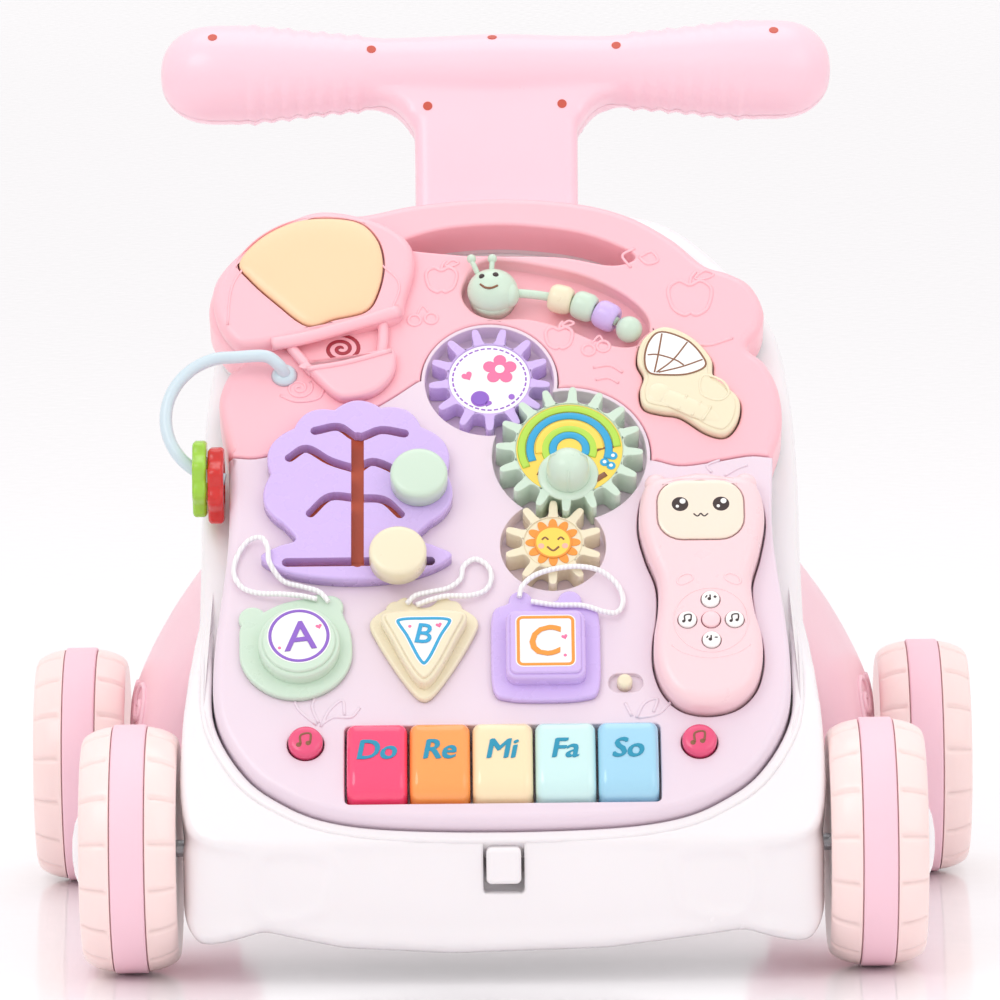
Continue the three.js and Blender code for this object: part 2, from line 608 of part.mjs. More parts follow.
// ---- puzzle pieces and their pull strings -------------------------------
function puzzlePiece(name) {
  const flange = plate(FLANGE_OUTLINES[name], GAP, 3.6);
  const block = plate(BLOCK_OUTLINES[name], -5.5, 12);
  return flange.add(block);
}

const STRING_ROUTES = {
  circle: [[-80.5, 113.5, 5.4], [-85, 119, 5.4], [-93, 123, 3.6], [-102, 126.5, 3.4], [-108, 133, 9],
    [-109, 141, 9.6], [-112, 148, 7], [-118, 149, 3], [-123, 142, 2.2], [-125, 132, 2.2],
    [-121, 123.5, 2.6], [-113, 119.5, 3.8], [-103, 118, 5.4], [-93, 116.8, 5.5], [-86, 115, 5.3]],
  triangle: [[-44, 112, 5.3], [-40, 116, 6], [-33, 118.5, 5], [-25, 121.5, 3.2], [-19, 127, 2.3],
    [-17.5, 134, 2.2], [-12, 138, 2.2], [-6, 134, 2.2], [-4.5, 127, 2.2], [-7.5, 120.5, 2.4],
    [-15, 117, 3.8], [-25, 116, 5.3], [-33, 113.8, 5.6], [-39.5, 111.2, 5.3]],
  square: [[8.5, 115, 5.3], [10, 121, 5.2], [16, 127, 5.2], [26, 130.5, 5.2], [37, 131.5, 5.2],
    [47, 129, 4.8], [54.5, 122.5, 3], [57, 114.5, 2.3], [54.5, 108, 2.8], [48.5, 106.5, 5],
    [38, 110, 5.3], [25, 110.5, 5.2], [14, 112.5, 5.3]],
};

function pullString(name) {
  const route = STRING_ROUTES[name].map((p) => new THREE.Vector3(...p));
  return tube(route, 1.25, 22, 8);
}

// ---- phone --------------------------------------------------------------
const PHONE_TOP = 12;
const PHONE_KEYS = {
  phone_button_top: [97.5, 108.5], phone_button_bottom: [97.5, 86.5],
  phone_button_left: [86.5, 97.5], phone_button_right: [108.5, 97.5], phone_button_centre: [97.5, 97.5],
};

function phoneShell() {
  const holes = joined(Object.values(PHONE_KEYS).map((at) => disc(at, 4.6, PHONE_TOP - 4, PHONE_TOP + 1, 16)));
  const screen = plate(roundedBox([73.4, 141.4], [114.6, 174.6], 12), PHONE_TOP - 1.2, PHONE_TOP + 1);
  return plate(PHONE, -7.4, PHONE_TOP).subtract(holes).subtract(screen);
}

// ---- music keys ---------------------------------------------------------
function musicKey(index) {
  const left = (index - 2.5) * KEY_PITCH + 0.5;
  const right = left + KEY_PITCH - 1;
  const side = [[KEY_HIGH, -8.5], [KEY_HIGH, 2], [KEY_HIGH - 2, 4], [KEY_LOW + 10, 5], [KEY_LOW + 4, 3.5],
    [KEY_LOW + 1, -0.5], [KEY_LOW + 0.4, -6], [KEY_LOW + 1, -8.5]];
  const flat = surface(plate(side, left, right));
  return solid(flat.applyMatrix4(new THREE.Matrix4().set(0, 0, 1, 0, 1, 0, 0, 0, 0, 1, 0, 0, 0, 0, 0, 1)));
}

// ---- put it together ----------------------------------------------------
place('front_shell', frontShell(), finish('white', 0.25), walker);
place('rear_shell', rearShell(), finish('white', 0.3), walker);
place('left_leg', leg(-1), finish('salmon', 0.35), walker);
place('right_leg', leg(1), finish('salmon', 0.35), walker);
place('handle_front', handleHalf(true), finish('pink'), handleFrame);
place('handle_back', handleHalf(false), finish('pink'), handleFrame);
place('front_axle', rodX(AXLE_RADIUS, -199, 199, -WHEELBASE / 2, WHEEL_RADIUS), finish('steel', 0.3, 1), walker);
place('latch', box([-8, -189, 49], [8, -180, 65]), finish('white', 0.25), walker);

addWheel('front_left', -FRONT_TRACK / 2, -WHEELBASE / 2, AXLE_RADIUS + 0.3);
addWheel('front_right', FRONT_TRACK / 2, -WHEELBASE / 2, AXLE_RADIUS + 0.3);
addWheel('rear_left', -REAR_TRACK / 2, WHEELBASE / 2, AXLE_RADIUS + 1.3);
addWheel('rear_right', REAR_TRACK / 2, WHEELBASE / 2, AXLE_RADIUS + 1.3);

const { lower, upper } = panelShells();
place('lower_panel', lower, finish('lavender', 0.4));
place('upper_panel', upper, finish('salmon', 0.4));
place('panel_back', panelBack(), finish('white', 0.4));
place('battery_door', plate(roundedBox([-39.6, 120.4], [39.6, 179.6], 4), -25.7, -22.8), finish('white', 0.45));
place('circuit_board', plate(roundedBox([-62, 54], [50, 78], 2), -21.5, -19.9), finish('board', 0.5));
place('speaker', disc(SPEAKER_AT, 14, -21.5, -11.5, 20), finish('cone', 0.6));

place('mint_gear', gearBody(MINT_GEAR, MINT_ANGLE), finish('mint'));
place('lilac_gear', gearBody(LILAC_GEAR, LILAC_ANGLE), finish('lilac'));
place('sun_gear', gearBody(SUN_GEAR, SUN_ANGLE), finish('cream'));
place('gear_knob', gearKnob(), finish('mint'));

place('tree_plate', treePlate(), finish('lilac', 0.4));
place('mint_tree_knob', treeKnob([-38, 177]), finish('mint'));
place('cream_tree_knob', treeKnob([-48, 134]), finish('cream'));

place('worm_head', wormHead(), finish('mint'));
place('worm_tail', wormTail(), finish('mint'));
addBead('cream_bead', 16.9, 'cream');
addBead('mint_bead', 24.5, 'mint');
addBead('lilac_bead', 32.1, 'lilac');

place('balloon_button', plate(BALLOON_PAD, 4.2, 9.5), finish('pad', 0.4));
place('butterfly_button', plate(BUTTERFLY, -3.6, 5), finish('cream', 0.4));
for (const [name, at] of Object.entries(ROUND_BUTTONS)) {
  place(name, disc(at, 8, -3.6, 4.5, 20), finish('rose'));
}
place('volume_slider', disc([SWITCH_AT[0] - 0.5, SWITCH_AT[1]], 3.6, -2.2, 3, 16), finish('cream'));

place('bead_hoop', beadHoop(), finish('hoop'));
addRing('lime_ring', -14.6, -30.2, 6.6, 8, 'lime');
addRing('red_ring', -6.9, -33.6, 7.4, 8, 'red');

for (const { name, colour } of PUZZLE) {
  place(`${name}_piece`, puzzlePiece(name), finish(colour, 0.4));
  place(`${name}_string`, pullString(name), finish('string', 0.8));
}

place('phone_shell', phoneShell(), finish('phone'));
place('phone_screen', plate(roundedBox([73.8, 141.8], [114.2, 174.2], 11.6), PHONE_TOP - 0.9, PHONE_TOP + 1),
  finish('cream', 0.2));
for (const [name, at] of Object.entries(PHONE_KEYS)) {
  place(name, disc(at, 4.2, PHONE_TOP - 2.2, PHONE_TOP + 1.4, 16), finish('white', 0.3));
}

['do', 're', 'mi', 'fa', 'so'].forEach((note, i) => {
  place(`${note}_key`, musicKey(i), finish(note, 0.25));
});

export default walker;
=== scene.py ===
# %% [markdown]
# # A push-along baby walker
# The walker is a white wheeled body with a pink handle, and a lift-off play panel of moulded toys.
# The CAD frame gives every place and size; this lesson builds the smooth, finished surfaces around it.

# %% Load the frame
import math
import bmesh
import bpy
import numpy as np
from mathutils import Matrix, Vector
from mathutils.bvhtree import BVHTree
from mathutils.geometry import delaunay_2d_cdt


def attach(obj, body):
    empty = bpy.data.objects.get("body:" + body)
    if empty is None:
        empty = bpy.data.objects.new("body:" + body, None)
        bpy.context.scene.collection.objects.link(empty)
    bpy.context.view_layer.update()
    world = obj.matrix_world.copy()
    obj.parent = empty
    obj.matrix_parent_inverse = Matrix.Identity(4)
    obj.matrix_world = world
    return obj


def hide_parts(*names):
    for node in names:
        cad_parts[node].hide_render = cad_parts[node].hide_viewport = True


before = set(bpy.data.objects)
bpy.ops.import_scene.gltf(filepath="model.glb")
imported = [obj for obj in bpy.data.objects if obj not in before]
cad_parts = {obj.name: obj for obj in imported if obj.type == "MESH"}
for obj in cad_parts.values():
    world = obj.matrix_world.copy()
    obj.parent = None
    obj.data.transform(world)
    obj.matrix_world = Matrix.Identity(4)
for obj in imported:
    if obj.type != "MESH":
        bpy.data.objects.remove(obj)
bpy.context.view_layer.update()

# %% [markdown]
# ## Three frames to draw in
# The toys are drawn flat, in millimetres, on the leaning play panel: u across, v up the slope, w out of it.
# The handle is drawn upright and leans back with its stem. One function takes each drawing to the world.

# %% Drawing frames
MM = 0.001
PANEL_LEAN = math.radians(51)
PANEL_FOOT = np.array([0.0, -186.5, 80.0])
STEM_LEAN = math.radians(-26.6)
STEM_FOOT = np.array([0.0, 83.8, 321.7])
AXLE_Y = 132.5
WHEEL_RADIUS = 58.0


def tilted(points, foot, lean):
    """x stays, y and z turn by the lean about X, then the foot is added; millimetres become metres."""
    p = np.asarray(points, float)
    c, s = math.cos(lean), math.sin(lean)
    y = p[..., 1] * c - p[..., 2] * s
    z = p[..., 1] * s + p[..., 2] * c
    return (np.stack([p[..., 0], y, z], -1) + foot) * MM


def on_panel(points):
    return tilted(points, PANEL_FOOT, PANEL_LEAN)


def on_handle(points):
    return tilted(points, STEM_FOOT, STEM_LEAN)


def on_floor(points):
    return np.asarray(points, float) * MM


print("panel top stands at", on_panel([0, 344, 0]).round(3))

# %% [markdown]
# ## Curves and outlines
# A moulder draws an outline with few points and lets a smooth curve run through them. A Catmull-Rom spline
# does the same: each stretch is a cubic that leaves its two points along the chord of their neighbours.

# %% Outline helpers
def smooth_line(points, per=6, closed=False):
    """Catmull-Rom: p(t) = half of (2b + (c-a)t + (2a-5b+4c-d)t^2 + (3b-a-3c+d)t^3) between b and c."""
    p = np.asarray(points, float)
    if closed:
        a, b, c, d = np.roll(p, 1, 0), p, np.roll(p, -1, 0), np.roll(p, -2, 0)
    else:
        q = np.vstack([2 * p[0] - p[1], p, 2 * p[-1] - p[-2]])
        a, b, c, d = q[:-3], q[1:-2], q[2:-1], q[3:]
    t = (np.arange(per) / per)[None, :, None]
    a, b, c, d = (x[:, None, :] for x in (a, b, c, d))
    line = 0.5 * (2 * b + (c - a) * t + (2 * a - 5 * b + 4 * c - d) * t**2 + (3 * b - a - 3 * c + d) * t**3)
    line = line.reshape(-1, p.shape[1])
    return line if closed else np.vstack([line, p[-1]])


def signed_area(outline):
    x, y = outline[:, 0], outline[:, 1]
    return 0.5 * float(np.sum(x * np.roll(y, -1) - y * np.roll(x, -1)))


def loop(points, per=6):
    """A smooth closed outline that runs anticlockwise."""
    line = smooth_line(points, per, True)
    return line[::-1] if signed_area(line) < 0 else line


def circle(centre, radius, count=48):
    turn = np.linspace(0, 2 * np.pi, count, endpoint=False)
    return np.stack([centre[0] + radius * np.cos(turn), centre[1] + radius * np.sin(turn)], 1)


def rounded_box(low, high, radius):
    """A rectangle whose corners are quarter circles, anticlockwise."""
    turn = np.linspace(0, np.pi / 2, 7)
    corners = [(high[0] - radius, high[1] - radius), (low[0] + radius, high[1] - radius),
               (low[0] + radius, low[1] + radius), (high[0] - radius, low[1] + radius)]
    arcs = [np.stack([x + radius * np.cos(turn + k * np.pi / 2), y + radius * np.sin(turn + k * np.pi / 2)],
                     1)
            for k, (x, y) in enumerate(corners)]
    return np.vstack(arcs)


def inward(outline):
    """Unit vectors to the left of the way the outline runs, which is into the plastic."""
    way = np.roll(outline, -1, 0) - np.roll(outline, 1, 0)
    way /= np.linalg.norm(way, axis=1, keepdims=True) + 1e-12
    return np.stack([-way[:, 1], way[:, 0]], 1)


def raised(outline, height):
    flat = np.asarray(outline, float)
    return np.column_stack([flat, np.broadcast_to(height, len(flat))])


def quads(rows, cols):
    """The four corners of every cell of a grid whose last column joins its first, numbered row by row."""
    r, c = np.meshgrid(np.arange(rows - 1), np.arange(cols), indexing="ij")
    n = (c + 1) % cols
    cells = np.stack([r * cols + c, r * cols + n, (r + 1) * cols + n, (r + 1) * cols + c], -1)
    return cells.reshape(-1, 4).tolist()


# %% [markdown]
# ## A moulding collects surfaces
# Each toy is a few surfaces that belong together. They are gathered as whole arrays, put in one mesh,
# and the doubled points at poles and seams are merged so that the skin is closed and faces outwards.

# %% The moulding collector
class Moulding:
    """Surfaces gathered for one mesh, each with its material slot and whether its faces are shaded smooth."""

    def __init__(self):
        self.points, self.faces, self.slots, self.smooth = [], [], [], []
        self.count = 0

    def add(self, surface, slot=0, smooth=True):
        points, faces = surface
        points = np.asarray(points, float).reshape(-1, 3)
        self.faces += [[int(i) + self.count for i in face] for face in faces]
        self.points.append(points)
        self.slots += [slot] * len(faces)
        self.smooth += [smooth] * len(faces) if isinstance(smooth, bool) else list(smooth)
        self.count += len(points)
        return self

    def mesh(self, name, place, materials, tidy=True):
        mesh = bpy.data.meshes.new(name)
        mesh.from_pydata(place(np.vstack(self.points)).tolist(), [], self.faces)
        mesh.polygons.foreach_set("material_index", self.slots)
        mesh.polygons.foreach_set("use_smooth", self.smooth)
        for material in materials:
            mesh.materials.append(material)
        if tidy:
            tidy_mesh(mesh)
        return mesh


def placed(name, data):
    """An object with this data, linked into the scene where it was drawn."""
    obj = bpy.data.objects.new(name, data)
    bpy.context.scene.collection.objects.link(obj)
    return obj


def worked_out(obj):
    """The mesh that an object's modifiers or type come to; the object itself is thrown away."""
    graph = bpy.context.evaluated_depsgraph_get()
    graph.update()
    mesh = bpy.data.meshes.new_from_object(obj.evaluated_get(graph), depsgraph=graph)
    bpy.data.objects.remove(obj)
    return mesh


def mesh_points(mesh):
    """A mesh's points as an array of rows (x, y, z)."""
    points = np.empty(len(mesh.vertices) * 3)
    mesh.vertices.foreach_get("co", points)
    return points.reshape(-1, 3)


def skin_of(mesh):
    """A search tree over a mesh's surface, for casting rays at it."""
    return BVHTree.FromPolygons(mesh_points(mesh).tolist(), [face.vertices for face in mesh.polygons])


def tidy_mesh(mesh):
    """Merges doubled points and turns every face outwards."""
    work = bmesh.new()
    work.from_mesh(mesh)
    bmesh.ops.remove_doubles(work, verts=work.verts, dist=2e-6)
    bmesh.ops.dissolve_degenerate(work, edges=work.edges, dist=1e-7)
    bmesh.ops.recalc_face_normals(work, faces=work.faces)
    work.to_mesh(mesh)
    work.free()
    mesh.update()


made = []


def piece(name, moulding, place, materials, body, replaces=()):
    """Puts a moulding into the scene, on a CAD body, in place of the CAD nodes it stands for."""
    mesh = moulding if isinstance(moulding, bpy.types.Mesh) else moulding.mesh(name, place, materials)
    obj = placed(name, mesh)
    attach(obj, body)
    if replaces:
        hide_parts(*replaces)
    made.append(obj)
    return obj


# %% [markdown]
# ## Surfaces
# Nearly every part of the toy is one of five surfaces: a slab with rounded rims, a sheet of plastic with
# wells pressed into it, a pillow that crowns towards its middle, a turned shape, and a tube along a path.

# %% Slab and pillow
def slab(outline, low, high, round_top=1.0, round_low=0.0, steps=4):
    """Rings go up the wall, then a quarter circle: inset = r(1 - sin a), height = top - r(1 - cos a)."""
    into = inward(outline)
    turn = np.linspace(np.pi / 2, 0, steps + 1)
    rings = []
    if round_low > 0:
        for a in turn[::-1]:
            rings.append(raised(outline + into * round_low * (1 - math.sin(a)),
                                low + round_low * (1 - math.cos(a))))
    else:
        rings.append(raised(outline, low))
    for a in turn:
        rings.append(raised(outline + into * round_top * (1 - math.sin(a)),
                            high - round_top * (1 - math.cos(a))))
    count = len(outline)
    faces = quads(len(rings), count)
    smooth = [True] * len(faces) + [False, False]
    faces += [list(range(count))[::-1], list(range((len(rings) - 1) * count, len(rings) * count))]
    return (np.vstack(rings), faces), smooth


def add_slab(moulding, outline, low, high, round_top=1.0, round_low=0.0, slot=0, steps=4):
    surface, smooth = slab(outline, low, high, round_top, round_low, steps)
    return moulding.add(surface, slot, smooth)


def pillow(outline, low, base, high, square, steps):
    """Rings shrink to the middle as cos(a)^e while they rise as sin(a)^e, on a wall from low to base."""
    middle = outline.mean(0)
    turn = np.linspace(0, np.pi / 2, steps + 1)
    shrink = np.cos(turn).clip(0) ** square
    rise = np.sin(turn) ** (1 / (1 + square))
    rings = [raised(outline, low)]
    rings += [raised(middle + (outline - middle) * s, base + (high - base) * r) for s, r in zip(shrink, rise)]
    count = len(outline)
    faces = quads(len(rings), count) + [list(range(count))[::-1]]
    return np.vstack(rings), faces


# %% A sheet of plastic with wells
def inside(outline, spots):
    """Crossing count: a spot is inside if a ray towards +x crosses the outline an odd number of times."""
    a, b = outline, np.roll(outline, -1, 0)
    x, y = spots[:, :1], spots[:, 1:]
    spans = (a[:, 1] > y) != (b[:, 1] > y)
    rise = np.where(b[:, 1] == a[:, 1], 1e-9, b[:, 1] - a[:, 1])
    return (spans & (x < (b[:, 0] - a[:, 0]) * (y - a[:, 1]) / rise + a[:, 0])).sum(1) % 2 == 1


def flat_fill(rims):
    """Triangles between the first outline and the rest, numbered as each outline's own points are."""
    numbers = np.concatenate([np.arange(len(ring)) + first for first, ring in rims])
    flat = np.vstack([ring for _, ring in rims])
    edges, start = [], 0
    for _, ring in rims:
        n = np.arange(len(ring))
        edges += np.stack([n + start, (n + 1) % len(ring) + start], 1).tolist()
        start += len(ring)
    result = delaunay_2d_cdt([Vector(p) for p in flat], edges, [], 0, 1e-5)
    owner = np.array([ids[0] if ids else -1 for ids in result[3]])
    triangles = np.array(result[2])
    corners = np.array([v[:] for v in result[0]])[triangles]
    middle = corners.mean(1)
    keep = inside(rims[0][1], middle) & (owner[triangles] >= 0).all(1)
    for _, ring in rims[1:]:
        keep &= ~inside(ring, middle)
    return numbers[owner[triangles[keep]]].tolist()


def plastic_sheet(loops, top=0.0, steps=4):
    """Every loop's rim is a quarter circle into a wall; the face between the rims is one flat fill.
    A loop is (outline, rim radius, depth, floor), with radius and depth as numbers or one per point."""
    points, faces, smooth, rims, start = [], [], [], [], 0
    for outline, rim, depth, floor in loops:
        count = len(outline)
        rim = np.broadcast_to(rim, count)[:, None]
        depth = np.broadcast_to(depth, count)[:, None]
        into = inward(outline)
        rings = []
        for a in np.linspace(0, np.pi / 2, steps + 1):
            flat = outline + into * rim * (1 - math.sin(a))
            rings.append(np.hstack([flat, top - rim * (1 - math.cos(a))]))
        rings.append(np.hstack([outline, top - depth]))
        points.append(np.vstack(rings))
        faces += [[i + start for i in face] for face in quads(len(rings), count)]
        smooth += [True] * (len(rings) - 1) * count
        if floor:
            base = start + (len(rings) - 1) * count
            faces.append(list(range(base, base + count)))
            smooth.append(False)
        rims.append((start, rings[0]))
        start += len(rings) * count
    fill = flat_fill([(first, ring[:, :2]) for first, ring in rims])
    faces += fill
    smooth += [False] * len(fill)
    return (np.vstack(points), faces), smooth


# %% Turned shapes and tubes
def turned(profile, count=48, centre=(0, 0), axis="w"):
    """Each profile point (r, h) goes round a circle: r cos t, r sin t, h."""
    r, h = np.asarray(profile, float).T
    t = np.linspace(0, 2 * np.pi, count, endpoint=False)
    grid = np.stack([np.outer(r, np.cos(t)), np.outer(r, np.sin(t)), np.outer(h, np.ones(count))], -1)
    if axis == "x":
        grid = grid[..., [2, 0, 1]]
        grid[..., 1] += centre[0]
        grid[..., 2] += centre[1]
    else:
        grid[..., 0] += centre[0]
        grid[..., 1] += centre[1]
    return grid.reshape(-1, 3), quads(len(r), count)


def tube(path, radius, sides=14, flat=1.0, up=(0.0, 0.0, 1.0), closed=False):
    """A circle carried along a path: side = way x up, and a point is path + r(side cos t + lift sin t)."""
    path = np.asarray(path, float)
    way = np.roll(path, -1, 0) - np.roll(path, 1, 0) if closed else np.gradient(path, axis=0)
    way /= np.linalg.norm(way, axis=1, keepdims=True) + 1e-12
    side = np.cross(way, np.asarray(up, float))
    side /= np.linalg.norm(side, axis=1, keepdims=True) + 1e-12
    lift = np.cross(side, way)
    t = np.linspace(0, 2 * np.pi, sides, endpoint=False)
    r = np.broadcast_to(radius, len(path))[:, None, None]
    ring = side[:, None] * np.cos(t)[None, :, None] + lift[:, None] * np.sin(t)[None, :, None] * flat
    grid = path[:, None] + r * ring
    if closed:
        grid = np.concatenate([grid, grid[:1]])
        return grid.reshape(-1, 3), quads(len(grid), sides)
    faces = quads(len(path), sides)
    last = (len(path) - 1) * sides
    faces += [list(range(sides))[::-1], list(range(last, last + sides))]
    return grid.reshape(-1, 3), faces


def ball(centre, radii, rows=20, count=28):
    """x = a cos p cos t, y = b cos p sin t, z = c sin p."""
    p = np.linspace(-np.pi / 2, np.pi / 2, rows)
    t = np.linspace(0, 2 * np.pi, count, endpoint=False)
    grid = np.stack([np.outer(np.cos(p), np.cos(t)), np.outer(np.cos(p), np.sin(t)),
                     np.outer(np.sin(p), np.ones(count))], -1)
    return (grid * np.asarray(radii, float) + np.asarray(centre, float)).reshape(-1, 3), quads(rows, count)


def ridge(moulding, points, width, height=0.0, closed=False):
    """A moulded line: a slim tube sunk to its middle in the face."""
    line = smooth_line(points, 5, closed)
    return moulding.add(tube(raised(line, height), width, 8, 0.75, closed=closed))


print("helpers ready")

# %% [markdown]
# ## Moulded plastic
# Injection-moulded toys are one colour all through, but never one flat colour: there is faint flow in the
# pigment, a fine spark-eroded grain, and tiny handling marks that roughen the shine. One node group gives
# all of that from Object coordinates; the shader itself stays in each material.

# %% The moulded finish
def linear(code):
    """A web colour as linear light."""
    value = np.array([int(code[i:i + 2], 16) for i in (1, 3, 5)]) / 255
    light = np.where(value <= 0.04045, value / 12.92, ((value + 0.055) / 1.055) ** 2.4)
    return (*map(float, light), 1.0)


def link_chain(tree, *pairs):
    for out, into in pairs:
        tree.links.new(out, into)


def moulded_group():
    tree = bpy.data.node_groups.new("moulded_plastic", "ShaderNodeTree")
    face = tree.interface
    for name, kind, default in (("Colour", "NodeSocketColor", (1, 1, 1, 1)), ("Flow", "NodeSocketFloat",
        0.04),
                                ("Shine", "NodeSocketFloat", 0.3), ("Grain", "NodeSocketFloat", 1.0)):
        face.new_socket(name, in_out="INPUT", socket_type=kind).default_value = default
    for name, kind in (("Colour", "NodeSocketColor"), ("Roughness", "NodeSocketFloat"), ("Height",
        "NodeSocketFloat")):
        face.new_socket(name, in_out="OUTPUT", socket_type=kind)
    node = tree.nodes.new
    given, result, place = node("NodeGroupInput"), node("NodeGroupOutput"), node("ShaderNodeTexCoord")
    flow, marks, grain = node("ShaderNodeTexNoise"), node("ShaderNodeTexNoise"), node("ShaderNodeTexNoise")
    flow.inputs["Scale"].default_value = 14
    marks.inputs["Scale"].default_value = 90
    marks.inputs["Detail"].default_value = 6
    grain.inputs["Scale"].default_value = 1400
    shade, swing = node("ShaderNodeHueSaturation"), node("ShaderNodeMapRange")
    amount, rough, lift = node("ShaderNodeMath"), node("ShaderNodeMath"), node("ShaderNodeMath")
    half = node("ShaderNodeMath")
    half.operation, amount.operation = "SUBTRACT", "MULTIPLY_ADD"
    half.inputs[1].default_value = 0.5
    amount.inputs[2].default_value = 1.0
    rough.operation, lift.operation = "MULTIPLY_ADD", "MULTIPLY"
    swing.inputs["To Min"].default_value = -0.06
    swing.inputs["To Max"].default_value = 0.09
    rough.inputs[1].default_value = 1.0
    link_chain(tree, *((place.outputs["Object"], n.inputs["Vector"]) for n in (flow, marks, grain)),
               (flow.outputs["Fac"], half.inputs[0]), (half.outputs[0], amount.inputs[0]),
               (given.outputs["Flow"], amount.inputs[1]), (amount.outputs[0], shade.inputs["Value"]),
               (given.outputs["Colour"], shade.inputs["Color"]), (shade.outputs["Color"],
                                                                  result.inputs["Colour"]),
               (marks.outputs["Fac"], swing.inputs["Value"]), (swing.outputs["Result"], rough.inputs[0]),
               (given.outputs["Shine"], rough.inputs[2]), (rough.outputs[0], result.inputs["Roughness"]),
               (grain.outputs["Fac"], lift.inputs[0]), (given.outputs["Grain"], lift.inputs[1]),
               (lift.outputs[0], result.inputs["Height"]))
    return tree


MOULDED = moulded_group()


def plastic(name, colour, shine=0.28, flow=0.05, grain=0.5, coat=0.25, soft=0.06):
    """A Principled shader fed by the moulded finish, with a thin clear skin and a little light inside."""
    material = bpy.data.materials.new(name)
    material.use_nodes = True
    tree = material.node_tree
    shader = tree.nodes["Principled BSDF"]
    group, bump = tree.nodes.new("ShaderNodeGroup"), tree.nodes.new("ShaderNodeBump")
    group.node_tree = MOULDED
    group.inputs["Colour"].default_value = linear(colour)
    group.inputs["Flow"].default_value = flow
    group.inputs["Shine"].default_value = shine
    group.inputs["Grain"].default_value = grain
    bump.inputs["Strength"].default_value = 0.06
    bump.inputs["Distance"].default_value = 0.0002
    shader.inputs["Coat Weight"].default_value = coat
    shader.inputs["Coat Roughness"].default_value = 0.12
    shader.inputs["Subsurface Weight"].default_value = soft
    shader.inputs["Subsurface Radius"].default_value = (0.006, 0.004, 0.003)
    link_chain(tree, (group.outputs["Colour"], shader.inputs["Base Color"]),
               (group.outputs["Roughness"], shader.inputs["Roughness"]),
               (group.outputs["Height"], bump.inputs["Height"]), (bump.outputs["Normal"],
                                                                  shader.inputs["Normal"]))
    return material


WHITE = plastic("white_body", "#f3eef0", 0.22)
PINK = plastic("pink_handle", "#fdd0dc", 0.3)
SALMON = plastic("salmon_panel", "#fdbfc9", 0.32)
LAVENDER = plastic("lavender_panel", "#ead8e4", 0.34)
PEACH = plastic("peach_wheel", "#ffe3df", 0.34)
TREAD = plastic("tread_band", "#fbcfdc", 0.5, grain=1.4, coat=0.0)
LEG = plastic("pink_leg", "#f9c8d4", 0.3)
LILAC = plastic("lilac_toy", "#d3b9ef", 0.26)
MINT = plastic("mint_toy", "#cfe3d0", 0.28)
CREAM = plastic("cream_toy", "#efe4c6", 0.28)
HOOP = plastic("hoop_tube", "#cfdfe7", 0.3)
LIME = plastic("lime_ring", "#b9ec4a", 0.15, soft=0.2)
RED = plastic("red_ring", "#ee2f28", 0.15, soft=0.2)
PHONE = plastic("phone_shell", "#f8d3d8", 0.28)
SCREEN = plastic("phone_screen", "#f4e4d2", 0.12, coat=0.8)
PAD = plastic("peach_pad", "#f8d2a8", 0.34)
ROSE = plastic("rose_button", "#e8507c", 0.22)
BACKING = plastic("tree_backing", "#c4552f", 0.5)
# Painted shade: this dark red stands in for the shade inside the cut spiral of the speaker grille, which is
# laid on as a thin flat tube and not cut.
SPIRAL_CUT_SHADE = plastic("speaker_cut_painted_shade", "#a83040", 0.5)
# Painted shade: this dark red stands in for the shade inside the handle's screw holes.
SCREW_HOLE_SHADE = plastic("screw_hole_shade", "#c8503c", 0.45)
KEY_COLOURS = {"do": "#fb4273", "re": "#fda050", "mi": "#fae2b8", "fa": "#cdeeec", "so": "#a2d6ee"}
KEYS = {note: plastic(f"{note}_key", colour, 0.12, coat=0.7) for note, colour in KEY_COLOURS.items()}
INKS = {name: plastic(f"{name}_ink", colour, 0.35, coat=0.1, soft=0.0) for name, colour in {
    "teal": "#1c93b4", "white": "#fbfaf8", "purple": "#8f62c8", "blue": "#2fa6d6", "orange": "#f39a3a",
    "yellow": "#fbd85a", "brown": "#8a5a3c", "pink": "#f277a4", "lime": "#b5dc4e", "black": "#3a2a2a",
    "blush": "#f6b9a8", "violet": "#a06ad0"}.items()}
print(len(bpy.data.materials), "finishes")
# %% [markdown]
# ## Camera, light and floor
# The view is a long lens from in front, a little above the floor and tipped down, with the slightest roll.
# Three large soft lamps and a bright sky give the even, airy light of a catalogue table.

# %% Camera
lens = bpy.data.cameras.new("front_view")
lens.sensor_width = 36
lens.lens = 282.7
lens.clip_end = 60
camera = placed("front_view", lens)
CAMERA_AT, TIP_DOWN, ROLL = (0, -3.7515, 0.651), math.radians(90 - 6.79), math.radians(-0.6)
look = Matrix.Rotation(TIP_DOWN, 4, "X") @ Matrix.Rotation(ROLL, 4, "Z")
camera.matrix_world = Matrix.Translation(CAMERA_AT) @ look
bpy.context.scene.camera = camera

# %% Light
sky = bpy.data.worlds.new("studio")
bpy.context.scene.world = sky
sky.use_nodes = True
sky.node_tree.nodes["Background"].inputs["Color"].default_value = (1, 0.985, 0.99, 1)
sky.node_tree.nodes["Background"].inputs["Strength"].default_value = 0.96
bpy.context.scene.view_settings.view_transform = "Standard"
LAMPS = {"key": ((-1.3, -1.7, 2.1), 1.5, 13), "fill": ((1.6, -1.5, 1.5), 1.8, 6), "top": ((0, 0.5, 2.4), 1.8,
    8)}
for name, (at, size, power) in LAMPS.items():
    data = bpy.data.lights.new(name, "AREA")
    data.shape, data.size, data.energy = "DISK", size, power
    lamp = placed(name, data)
    lamp.location = at
    lamp.rotation_euler = (Vector((0, 0, 0.2)) - Vector(at)).to_track_quat("-Z", "Y").to_euler()

